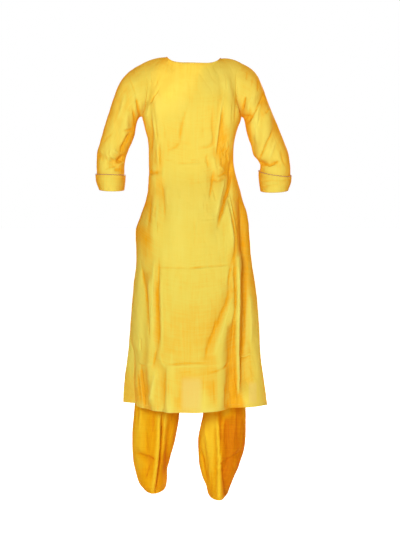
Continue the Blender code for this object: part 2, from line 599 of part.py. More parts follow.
def part_armhole(sheets, grids, column, sleeve_sheet, sleeve_grid):
    """Parts the body from the sleeve round one armhole."""
    step = 1 if column == 0 else -1
    rows = np.arange(ARMHOLE_ROWS + 1)
    inwards = []
    for own, ring in ((0, rows), (1, -1 - rows)):
        seam = grids[own][rows, column]
        inward = parting(grids[own][rows, column + step], sleeve_grid[1, ring], seam)
        stand_back(sheets[own], (rows, np.full_like(rows, column)), seam, inward)
        inwards.append(inward)
    back, front = inwards
    shared = np.concatenate([back[:1] + front[:1], back[1:-1], back[-1:] + front[-1:], front[1:-1][::-1], back[:1] + front[:1]])
    where = (np.zeros(len(shared), int), np.arange(len(shared)))
    stand_back(sleeve_sheet, where, sleeve_grid[0], -unit(shared))


def build_kameez():
    grids = [body_panel(1, BACK_FOLDS), body_panel(-1, FRONT_FOLDS)]
    sheets = [thickened(grids[0], 1), thickened(grids[1], -1)]
    hands = (
        ("left", COLUMNS, LEFT_SLEEVE, -1, LEFT_SLEEVE_FOLDS),
        ("right", 0, RIGHT_SLEEVE, 1, RIGHT_SLEEVE_FOLDS),
    )
    for hand, column, table, out, folds in hands:
        part_side_seams(sheets, grids, column)
        grid = sleeve(table, armhole(*grids, column), out, folds)
        sheet = thickened(grid, out, 0)
        part_armhole(sheets, grids, column, sheet, grid)
        closed_wall("sleeve_" + hand, sheet, out, KAMEEZ_YELLOW, 0.8, 0)
        closed_wall("cuff_" + hand, thickened(cuff(table), out, 0), out, KAMEEZ_YELLOW, 0.8, 0)
        add_cord("piping_" + hand, piping_path(table), PIPING_RADIUS, PIPING_BROWN, 0.6)
    closed_wall("kameez_back", sheets[0], 1, KAMEEZ_YELLOW, 0.8)
    closed_wall("kameez_front", sheets[1], -1, KAMEEZ_YELLOW, 0.8)


def build_salwar():
    for name, hand, table, folds in (
        ("salwar_leg_left", 1, LEFT_LEG, LEFT_LEG_FOLDS),
        ("salwar_leg_right", -1, RIGHT_LEG, RIGHT_LEG_FOLDS),
    ):
        grid = leg(table, hand, folds)
        sheet = thickened(grid, -hand, SEAT_ROWS)
        for face in sheet:
            face[..., 0] = hand * np.maximum(hand * face[..., 0], SEAM_BACK)
        closed_wall(name, sheet, -hand, SALWAR_YELLOW, 0.75, SEAT_ROWS)
    closed_wall("salwar_belt", thickened(belt(), -1, 0, BELT_WALL), -1, SALWAR_YELLOW, 0.75, 0)


clear_scene()
build_kameez()
build_salwar()
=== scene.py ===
"""The salwar kameez suit in fine cloth: creased, hemmed, stitched and piped, over the forms of the part.

Metres, in the part's frame: +Z is up, the suit faces -Y and +X is the wearer's left. Each piece is a
sheet of points, [row, column], on the outer face of its solid; the sizes are the part's, told finer.
"""

import bpy
import numpy as np
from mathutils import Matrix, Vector, noise


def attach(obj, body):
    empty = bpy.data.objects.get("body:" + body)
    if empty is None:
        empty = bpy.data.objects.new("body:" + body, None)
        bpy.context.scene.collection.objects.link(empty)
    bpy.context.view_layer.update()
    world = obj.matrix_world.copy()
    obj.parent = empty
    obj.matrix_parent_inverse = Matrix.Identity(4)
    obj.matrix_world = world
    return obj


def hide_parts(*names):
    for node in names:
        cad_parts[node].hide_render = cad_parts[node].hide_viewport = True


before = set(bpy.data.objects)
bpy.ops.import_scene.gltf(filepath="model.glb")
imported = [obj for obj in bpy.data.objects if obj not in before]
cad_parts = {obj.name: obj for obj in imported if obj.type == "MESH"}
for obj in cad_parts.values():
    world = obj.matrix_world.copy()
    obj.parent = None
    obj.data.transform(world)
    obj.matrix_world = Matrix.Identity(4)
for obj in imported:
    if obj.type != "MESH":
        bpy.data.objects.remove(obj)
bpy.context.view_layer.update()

# Points of the fine sheets.
COLUMNS = 224  # across the back, and across the front
SHOULDER_COLUMNS = 35
ARMHOLE_ROWS = 72
BODY_ROWS = 352
SLEEVE_RINGS = 150
CUFF_RINGS = 24
LEG_COLUMNS = 168
SEAT_ROWS = 56
LEG_ROWS = 234
BELT_ROWS = 12
ACROSS = np.linspace(-1, 1, COLUMNS + 1)  # each column's place, from the wearer's right to the left

# Sizes that the part has too.
WALL = 0.0015
CUFF_CLEAR = 0.0008  # between the sleeve and the cuff turned up over it
CUFF_FLARE = 0.0015  # how much the cuff widens upwards, a ring
CUFF_FROM, CUFF_TO = 9.58, 11.0  # in rings of the sleeve
SLEEVE_END = 10.85
OVAL_FROM = 2.5  # the sleeve turns from the armhole's shape to an oval over these rings
PIPING_RADIUS, PIPING_ABOVE, PIPING_OUT = 0.0012, 0.042, 0.0016
ARM_LEVEL, HEM = -0.194, -1.107
SLIT_ROW = 256
SLIT_TOP = ARM_LEVEL + (HEM - ARM_LEVEL) * SLIT_ROW / BODY_ROWS
WRAP_DEPTH = 0.045
LEFT_TIP, LEFT_NECK = np.array([0.1616, 0, -0.0300]), np.array([0.080, -0.004, -0.006])
RIGHT_TIP, RIGHT_NECK = np.array([-0.1600, 0, -0.0265]), np.array([-0.0940, -0.004, -0.010])
SHOULDER_RISE = 0.006  # how far the shoulder seam arches over its straight line
BACK_NECK, FRONT_NECK = (0.0225, 0.059, 4.5), (0.106, 0.084, 2.4)  # drop, reach and power of the neckline
NECK_ROUND = 0.8
CORNER_WIDTH, CORNER_FADE = 0.22, 0.30  # the corners at the neck run out over these shares of the cloth
LEAST_WIDTH = 0.01
TINY = 1e-9
JOINED_TO = 6  # points that agree to this many decimals of a metre are one
TO_MM, MM = 1000, 0.001
WAIST_TOP, WAIST_LOW, CROTCH = -0.446, -0.500, -0.720
HEM_RISE_POWER = 1.5

# Where folds fade in: rows, rings, or shares of the width.
SHOULDER_FADE = 0.3 * ARMHOLE_ROWS
SLIT_FADE = 3 / 22 * BODY_ROWS
SIDE_FADE = 0.10
SLEEVE_FADE, CUFF_FADE = 2, 0.8
LEG_FADE = 0.160  # metres below the crotch
FOLD_END = 1.6  # how much wider a fold is past its ends than beside its line
EDGE_ON = 0.05  # cloth that faces along Y less than this has no folds and creases
FOLD_TURN, CREASE_TURN = 0.5, 0.3  # over this much more of a turn they come to their full depth

# Creases: how far round each one the cloth is moved, and how it runs out at its ends.
CREASE_SCALE = 1.4  # of the depths given
CREASE_EDGE, CREASE_FALL = 0.6, 1.6  # the share of a crease that is a sharp line, and how fast it falls
CREASE_LINE = 0.7  # half the width of its line of painted shade or light, in half-widths
CREASE_REACH = 3.0  # half-widths
CREASE_END, CREASE_TAPER = 0.25, 0.22
SEAM_FADE = 0.010  # within this distance of a seam, creases die out
SEAM_FREE = 0.1  # the distance told where there is no seam
SLIT_FREE, NECK_FREE = 0.1 * BODY_ROWS, 6  # rows and columns over which a seam ends
CUFF_TOP_FADE, CUFF_HEM_FADE = 0.3, 0.2  # rings

# Waves, crumples, puckers and gathers: sizes, lengths and seeds.
HANG_WAVES = ((0.0012, 0.110, 3.0), (0.0006, 0.034, 11.0), (0.0003, 0.012, 23.0))
CRUMPLE, CRUMPLE_LENGTH, CRUMPLE_DROP, CRUMPLE_SEED, CRUMPLE_POWER = 0.0007, 0.026, 0.45, 47.0, 0.7
CUFF_WAVE, CUFF_BULGE = 0.35, 0.25
PUCKER, PUCKER_REACH, PUCKER_LENGTH, PUCKER_SEED, PUCKER_MEAN = 0.0010, 0.011, 0.016, 31, 0.4
BELT_GATHER, BELT_GATHERS, BELT_FADE = 0.0012, 60, 0.3

# Hems: how many rows or columns are turned under, and how deep under the face they lie.
HEM_ROWS, SLIT_COLUMNS, NECK_ROWS, LEG_HEM_ROWS = 5, 3, 4, 7
HEM_DEPTH, SLIT_DEPTH, HEM_ROLL = 0.0013, 0.0009, 0.5

# Parts of a body panel, as rows and columns, and its lines of stitching.
STITCH_GAP = 2  # rows between two lines of stitching, or between a line and the cloth's edge
EVERY = slice(None)
BELOW_SLIT = slice(ARMHOLE_ROWS + SLIT_ROW, None)
SLIT_STITCHES = slice(ARMHOLE_ROWS + SLIT_ROW + 3, None)  # they begin a little below the slit's top
NECKLINE = slice(SHOULDER_COLUMNS, COLUMNS - SHOULDER_COLUMNS + 1)
BODY_STITCHES = (
    (-HEM_ROWS, EVERY),
    (SLIT_STITCHES, SLIT_COLUMNS - 1),
    (SLIT_STITCHES, -SLIT_COLUMNS),
    (NECK_ROWS - STITCH_GAP, NECKLINE),
)

# Stitches, and the cord of the piping. Its lay is the length of one turn of its strands.
STITCH_PITCH, STITCH_LENGTH = 0.0031, 0.0023
STITCH_WIDTH, STITCH_HEIGHT, STITCH_SUNK = 0.00045, 0.00035, 0.0002
CORD_SIDES, CORD_STRANDS, CORD_LAY, CORD_RIB = 10, 2, 0.006, 0.1

# Painted shade and light: how far a point is raised or sunk for its full change of colour, deeper in
# troughs and paler on ridges, and each cause's share in that.
SHADE_DEPTH = 0.004
FOLD_SHADE, CREASE_SHADE, LINE_SHADE, WAVE_SHADE = 0.25, 0.25, 0.5, 0.45
SHADE_EDGE, BACKLIGHT_EDGE = 4, 8  # how firm the edges of the soft places are

# Colours of troughs (painted shade), face and ridges (painted light), and of the light that comes through
# the cloth.
KAMEEZ_COLOURS = ((0.81, 0.42, 0.001), (0.765, 0.735, 0.122), (0.78, 0.83, 0.172))
KAMEEZ_GLOW = (0.92, 0.46, 0.01)
SALWAR_COLOURS = ((0.60, 0.19, 0.001), (0.86, 0.50, 0.005), (0.94, 0.76, 0.04))
SALWAR_GLOW = (0.82, 0.30, 0.003)
GLOW_SHARE = 0.35
# Painted light: the colour of the places where light would show through the back.
BACKLIGHT_COLOUR, BACKLIGHT_SHARE = (0.76, 0.73, 0.215), 0.75
KAMEEZ_THREAD = (0.88, 0.62, 0.10)
SALWAR_THREAD = (0.80, 0.38, 0.02)
PIPING_STRANDS = ((0.62, (0.30, 0.10, 0.07)), (0.82, (0.80, 0.52, 0.20)))
CORD_TURNS, CORD_SLANT = 40.0, 0.6

# Threads, tone and wrinkles: noise scales over the flat cloth, and their shares in the mix of colours.
# The wrinkles' share is painted shade in their troughs and painted light on their ridges.
WEFT_SCALE, WARP_SCALE, WARP_SEED = (12, 220, 1), (200, 9, 1), 7.0
WRINKLE_SCALE, WRINKLE_HEIGHT, WRINKLE_MEAN = (60, 10, 1), 0.0010, -0.05
TONE_SCALE, THREAD_HEIGHT = 7.0, 0.0003
RAISED_SHARE, WRINKLE_SHARE, THREAD_SHARE, TONE_SHARE = 0.42, 0.25, 0.30, 0.15

# Cuts of the pieces: width and length, and the flat area where it is less.
BACK_CUT = (0.60, 1.14), 0.52
FRONT_CUT = (0.64, 1.16), 0.54

# The studio: camera, floor, light from all round, and the lamps by place, aim, size, power and colour.
CAMERA_AT, CAMERA_TO = Vector((-0.0272, 3.2, -0.48)), Vector((-0.0272, 0.0, -0.6704))
SENSOR, FOCAL_SHARE = 36.0, 1000 / 533  # the focal length is told over the sensor's long side
FLOOR, FLOOR_HALF, FLOOR_WHITE = -1.45, 40.0, (0.92, 0.92, 0.92)
AMBIENT, WHITE = (0.42, 0.24, 0.03), (1, 1, 1)
LAMPS = (
    ("key", (0.5, 3.2, 0.06), (0, 0, -0.7), 0.8, 84.0, (0.92, 1.0, 1.0)),
    ("fill", (-1.6, 2.6, 0.1), (0, 0, -0.7), 1.6, 12.0, WHITE),
    ("front", (-1.4, -2.8, 0.8), (0, 0, -0.7), 1.2, 90.0, WHITE),
)


def hermite(start, leave, end, arrive, t):
    """The cubic from start to end that leaves along one tangent and arrives along the other."""
    t2, t3 = t * t, t * t * t
    return (
        (2 * t3 - 3 * t2 + 1) * start
        + (t3 - 2 * t2 + t) * leave
        + (3 * t2 - 2 * t3) * end
        + (t3 - t2) * arrive
    )


def ease(t):
    t = np.clip(t, 0, 1)
    return t * t * (3 - 2 * t)


def unit(vectors):
    return vectors / np.linalg.norm(vectors, axis=-1, keepdims=True)


def run_along(line):
    """How far along a line of points each of them lies."""
    return np.concatenate([[0], np.cumsum(np.linalg.norm(np.diff(line, axis=0), axis=1))])


class Table:
    """Sizes in named columns, read between the rows by a curve that doesn't overshoot them."""

    def __init__(self, names, *rows):
        self.names = names.split()
        self.values = np.array(sorted(rows), float).T

    def read(self, name, at):
        x, y = self.values[0], self.values[self.names.index(name)]
        slope = np.diff(y) / np.diff(x)
        same_way = slope[1:] * slope[:-1] > 0
        total = np.where(same_way, slope[1:] + slope[:-1], 1)
        inner = np.where(same_way, 2 * slope[1:] * slope[:-1] / total, 0)
        tangent = np.concatenate([slope[:1], inner, slope[-1:]])
        at = np.clip(at, x[0], x[-1])
        k = np.clip(np.searchsorted(x, at) - 1, 0, len(x) - 2)
        width = x[k + 1] - x[k]
        return hermite(y[k], tangent[k] * width, y[k + 1], tangent[k + 1] * width, (at - x[k]) / width)

    def point(self, prefix, at):
        """The (x, 0, z) point held in the columns prefix_x and prefix_z."""
        return np.array([self.read(prefix + "_x", at), 0, self.read(prefix + "_z", at)])


# Side seams and depths of the kameez. Left and right are the half-widths at the wearer's left and right.
BODY = Table(
    "z left right back front",
    (-0.194, 0.1571, 0.1585, 0.097, 0.118),
    (-0.208, 0.1535, 0.1555, 0.097, 0.123),
    (-0.234, 0.1471, 0.1455, 0.094, 0.127),
    (-0.266, 0.1389, 0.1375, 0.087, 0.125),
    (-0.298, 0.1359, 0.1335, 0.078, 0.116),
    (-0.330, 0.1359, 0.1335, 0.070, 0.107),
    (-0.362, 0.1351, 0.1375, 0.067, 0.102),
    (-0.394, 0.1359, 0.1455, 0.072, 0.103),
    (-0.426, 0.1389, 0.1551, 0.082, 0.106),
    (-0.458, 0.1455, 0.1631, 0.093, 0.110),
    (-0.509, 0.1631, 0.1790, 0.108, 0.116),
    (-0.560, 0.1785, 0.1845, 0.118, 0.120),
    (-0.637, 0.1760, 0.1900, 0.128, 0.124),
    (-0.739, 0.1855, 0.2060, 0.140, 0.131),
    (-0.842, 0.1951, 0.2158, 0.151, 0.140),
    (-0.944, 0.2045, 0.2220, 0.161, 0.150),
    (-1.046, 0.2175, 0.2366, 0.175, 0.159),
    (-1.107, 0.2210, 0.2462, 0.180, 0.164),
)
ROUNDNESS = Table("z power", (-1.1, 0.94), (-0.6, 0.88), (-0.36, 0.86), (-0.27, 0.78), (-0.19, 0.66))

# Below the slit: how far each edge lies in from the side line and behind it, and, in degrees, how far the
# panel carries on round the side before its edge.
BACK_SLIT = Table(
    "drop left_in right_in left_y right_y left_wrap right_wrap",
    (0.000, 0.000, 0.000, 0.000, 0.000, 0.0, 0.0),
    (0.045, 0.007, 0.001, 0.020, 0.010, 0.0, 0.0),
    (0.090, 0.022, 0.002, 0.032, 0.018, 0.0, 0.0),
    (0.250, 0.043, 0.003, 0.052, 0.036, 0.0, 0.0),
)
FRONT_SLIT = Table(
    "drop left_in right_in left_y right_y left_wrap right_wrap",
    (0.000, 0.000, 0.000, 0.000, 0.000, 0.0, 0.0),
    (0.045, 0.000, 0.000, 0.000, 0.000, 22.0, 3.0),
    (0.090, 0.000, 0.000, 0.000, 0.000, 34.0, 9.0),
    (0.250, 0.000, 0.006, 0.000, 0.000, 42.0, 26.0),
)
BACK_HEM_RISE = Table(
    "across rise",
    (-1.00, -0.004),
    (-0.75, 0.006),
    (-0.45, 0.008),
    (-0.15, 0.002),
    (0.00, 0.000),
    (0.60, 0.000),
    (0.85, 0.004),
    (1.00, 0.008),
)

# Directions in which the cloth leaves the shoulder and neck, and reaches arm level, by distance across.
BACK_LEAVES = Table(
    "across x y z",
    (0.00, 0.000, 0.060, -0.130),
    (0.25, -0.040, 0.080, -0.130),
    (0.50, -0.090, 0.120, -0.120),
    (0.75, -0.100, 0.170, -0.080),
    (0.94, -0.108, 0.165, -0.060),
    (1.00, -0.100, 0.160, -0.050),
)
BACK_REACHES = Table(
    "across x y z",
    (0.00, 0.000, -0.010, -0.170),
    (0.25, 0.010, -0.020, -0.170),
    (0.50, 0.030, -0.040, -0.165),
    (0.75, 0.055, -0.090, -0.150),
    (0.94, 0.060, -0.150, -0.110),
    (1.00, 0.060, -0.180, -0.090),
)
FRONT_LEAVES = Table(
    "across x y z",
    (0.00, 0.000, -0.050, -0.080),
    (0.25, -0.030, -0.060, -0.080),
    (0.50, -0.080, -0.090, -0.080),
    (0.75, -0.110, -0.150, -0.080),
    (0.94, -0.122, -0.155, -0.060),
    (1.00, -0.120, -0.150, -0.050),
)
FRONT_REACHES = Table(
    "across x y z",
    (0.00, 0.000, -0.020, -0.120),
    (0.25, 0.010, -0.020, -0.130),
    (0.50, 0.040, -0.010, -0.145),
    (0.75, 0.070, 0.050, -0.140),
    (0.94, 0.080, 0.140, -0.110),
    (1.00, 0.080, 0.170, -0.090),
)

# Rings of the sleeves from armhole (0) to hem (11): the shoulder-side point, the underarm-side point,
# half the depth from front to back, and the middle of that depth.
LEFT_SLEEVE = Table(
    "ring outer_x outer_z inner_x inner_z half_depth mid_y slant",
    (0, 0.1616, -0.0300, 0.1556, -0.1940, 0.043, 0.000, 0.000),
    (1, 0.1930, -0.0485, 0.1630, -0.1950, 0.054, 0.000, 0.000),
    (2, 0.2165, -0.0715, 0.1664, -0.1990, 0.058, 0.000, 0.000),
    (3, 0.2345, -0.1024, 0.1710, -0.2080, 0.059, 0.000, 0.000),
    (4, 0.2505, -0.1470, 0.1760, -0.2270, 0.058, 0.000, 0.000),
    (5, 0.2645, -0.1890, 0.1800, -0.2500, 0.056, -0.002, 0.000),
    (6, 0.2785, -0.2300, 0.1905, -0.2760, 0.054, -0.005, 0.000),
    (7, 0.2920, -0.2750, 0.2020, -0.3000, 0.052, -0.009, 0.000),
    (8, 0.3035, -0.3170, 0.2110, -0.3270, 0.051, -0.013, 0.000),
    (9, 0.3045, -0.3520, 0.2145, -0.3550, 0.050, -0.016, 0.001),
    (10, 0.3030, -0.3940, 0.2160, -0.3970, 0.049, -0.019, 0.002),
    (11, 0.2945, -0.4240, 0.2180, -0.4260, 0.048, -0.020, 0.006),
)
RIGHT_SLEEVE = Table(
    "ring outer_x outer_z inner_x inner_z half_depth mid_y slant",
    (0, -0.1600, -0.0265, -0.1570, -0.1940, 0.043, 0.000, 0.000),
    (1, -0.1870, -0.0410, -0.1650, -0.1985, 0.054, 0.000, 0.000),
    (2, -0.2100, -0.0650, -0.1675, -0.2060, 0.058, 0.000, 0.000),
    (3, -0.2255, -0.0992, -0.1705, -0.2190, 0.059, 0.000, 0.000),
    (4, -0.2410, -0.1424, -0.1744, -0.2384, 0.058, 0.000, 0.000),
    (5, -0.2570, -0.1824, -0.1808, -0.2608, 0.056, 0.000, 0.000),
    (6, -0.2762, -0.2272, -0.1904, -0.2848, 0.054, -0.002, 0.000),
    (7, -0.2950, -0.2720, -0.1980, -0.3136, 0.052, -0.004, 0.000),
    (8, -0.3105, -0.3168, -0.2130, -0.3340, 0.051, -0.007, 0.005),
    (9, -0.3160, -0.3600, -0.2190, -0.3490, 0.050, -0.010, 0.008),
    (10, -0.3155, -0.3945, -0.2180, -0.3835, 0.049, -0.012, 0.009),
    (11, -0.3075, -0.4256, -0.2225, -0.4288, 0.048, -0.012, 0.008),
)

# The salwar's seat, shared by both legs, and each leg below the crotch.
SEAT = Table(
    "z width mid_y half_depth spread",
    (-0.500, 0.130, -0.020, 0.080, 0.5),
    (-0.560, 0.150, -0.008, 0.090, 0.5),
    (-0.620, 0.157, -0.003, 0.094, 0.58),
    (-0.680, 0.158, 0.000, 0.096, 0.76),
    (-0.720, 0.157, 0.000, 0.096, 1.0),
)
LEFT_LEG = Table(
    "z outer inner mid_y half_depth pinch hem_rise",
    (-0.720, 0.157, 0.0002, 0.000, 0.096, 1.00, 0.000),
    (-0.840, 0.160, 0.008, -0.006, 0.090, 0.98, 0.000),
    (-0.960, 0.164, 0.022, -0.012, 0.083, 0.96, 0.000),
    (-1.080, 0.180, 0.034, -0.020, 0.076, 0.96, 0.000),
    (-1.140, 0.188, 0.038, -0.026, 0.080, 0.98, 0.000),
    (-1.238, 0.195, 0.053, -0.033, 0.092, 1.02, 0.002),
    (-1.306, 0.192, 0.071, -0.038, 0.098, 0.98, 0.001),
    (-1.345, 0.184, 0.080, -0.040, 0.102, 0.94, 0.001),
    (-1.373, 0.175, 0.081, -0.040, 0.104, 0.92, 0.001),
    (-1.391, 0.160, 0.083, -0.040, 0.104, 0.90, 0.001),
)
RIGHT_LEG = Table(
    "z outer inner mid_y half_depth pinch hem_rise",
    (-0.720, 0.157, 0.0002, 0.000, 0.096, 1.00, 0.000),
    (-0.840, 0.162, 0.010, -0.006, 0.088, 0.98, 0.000),
    (-0.960, 0.164, 0.022, -0.018, 0.078, 0.96, 0.000),
    (-1.080, 0.171, 0.034, -0.028, 0.072, 0.96, 0.000),
    (-1.140, 0.177, 0.038, -0.022, 0.076, 0.98, 0.000),
    (-1.238, 0.175, 0.021, -0.004, 0.088, 0.98, 0.002),
    (-1.306, 0.155, 0.024, 0.008, 0.100, 0.92, 0.001),
    (-1.345, 0.137, 0.034, 0.012, 0.106, 0.86, 0.001),
    (-1.372, 0.125, 0.046, 0.014, 0.107, 0.82, 0.001),
    (-1.395, 0.117, 0.052, 0.014, 0.107, 0.80, 0.001),
)

# Folds in mm, as seen square on, each a trough (negative depth) or a ridge from its top end to its low
# end: x and z of both ends, half the width at both, and the depth at both.
BACK_FOLDS = (
    (128, -150, 130, -330, 16, 14, -7, -3),
    (106, -150, 108, -400, 16, 18, 6, 3),
    (2, -130, 40, -290, 22, 26, -3, -3),
    (-98, -130, -84, -300, 16, 16, -5, -5),
    (-114, -100, -118, -280, 15, 15, 6, 5),
    (-120, -370, -88, -535, 18, 22, -12, -8),
    (90, -420, 86, -560, 18, 24, -6, -6),
    (112, -470, 114, -560, 16, 18, 6, 6),
    (-64, -370, -62, -470, 16, 16, -5, -4),
    (-116, -480, -140, -660, 20, 24, 6, 8),
    (-172, -480, -178, -1000, 22, 32, -12, -36),
    (-150, -640, -152, -1040, 14, 16, 10, 14),
    (-126, -740, -40, -990, 24, 26, -6, -5),
    (-134, -800, -86, -920, 16, 16, 8, 6),
    (-126, -860, -138, -1130, 18, 34, -12, -50),
    (-30, -950, -20, -1130, 30, 40, 4, 8),
    (146, -700, 146, -940, 14, 18, -7, -6),
    (110, -720, 108, -960, 16, 18, -6, -4),
    (96, -720, 96, -960, 10, 12, 6, 5),
    (128, -720, 130, -1000, 14, 16, 7, 6),
    (148, -1000, 142, -1130, 14, 18, -10, -14),
    (92, -980, 90, -1130, 14, 14, -6, -10),
    (66, -980, 66, -1130, 20, 20, 8, 16),
)
FRONT_FOLDS = (
    (85, -240, 85, -242, 50, 50, 16, 16),
    (-85, -240, -85, -242, 50, 50, 16, 16),
    (0, -200, 0, -280, 30, 30, -6, -6),
    (118, -360, 100, -560, 18, 22, -9, -7),
    (-114, -350, -96, -540, 18, 22, -9, -7),
    (50, -400, 46, -520, 16, 18, -4, -3),
    (156, -600, 170, -960, 20, 30, -3, -18),
    (-160, -600, -172, -980, 20, 30, -3, -20),
    (120, -700, 126, -1130, 20, 26, 6, 10),
    (-126, -720, -132, -1130, 20, 26, 6, 10),
    (66, -760, 74, -1130, 22, 32, -6, -16),
    (-60, -800, -70, -1130, 22, 32, -6, -14),
    (4, -860, 2, -1130, 30, 36, 4, 9),
)
LEFT_SLEEVE_FOLDS = (
    (205, -120, 190, -215, 14, 12, -5, -6),
    (222, -150, 236, -300, 14, 14, -5, -3),
    (196, -190, 216, -270, 10, 12, 4, 4),
    (292, -318, 252, -342, 10, 10, -6, -7),
    (252, -342, 224, -330, 10, 9, -7, -5),
    (250, -300, 262, -322, 12, 12, 4, 5),
)
RIGHT_SLEEVE_FOLDS = (
    (-216, -140, -176, -205, 12, 10, -8, -7),
    (-226, -160, -188, -290, 12, 12, -7, -6),
    (-244, -180, -216, -320, 14, 12, 5, 4),
    (-270, -200, -256, -330, 14, 12, -4, -4),
    (-226, -340, -262, -342, 9, 10, -6, -6),
)
LEFT_LEG_FOLDS = (
    (101, -1140, 122, -1370, 9, 9, 8, 7),
    (88, -1120, 106, -1360, 9, 10, -8, -6),
    (64, -1140, 80, -1350, 12, 12, -8, -6),
    (178, -1268, 118, -1292, 12, 12, -6, -4),
    (150, -900, 150, -1240, 18, 20, -6, -6),
    (120, -760, 110, -1000, 24, 24, -8, -8),
)
RIGHT_LEG_FOLDS = (
    (-92, -1120, -94, -1190, 12, 12, -7, -4),
    (-86, -1180, -88, -1380, 10, 10, 8, 8),
    (-118, -1180, -118, -1380, 13, 12, -10, -9),
    (-160, -1262, -92, -1302, 11, 11, -6, -5),
    (-40, -1240, -44, -1340, 10, 10, -7, -7),
    (-140, -900, -150, -1240, 18, 20, -6, -6),
    (-110, -760, -104, -1000, 24, 24, -8, -8),
)
FRONT_OF_LEG_FOLDS = (
    (118, -800, 122, -1370, 14, 10, 4, 10),
    (86, -860, 100, -1340, 18, 14, -6, -7),
    (158, -900, 146, -1330, 18, 14, -6, -7),
    (160, -1270, 100, -1295, 12, 12, -5, -5),
)

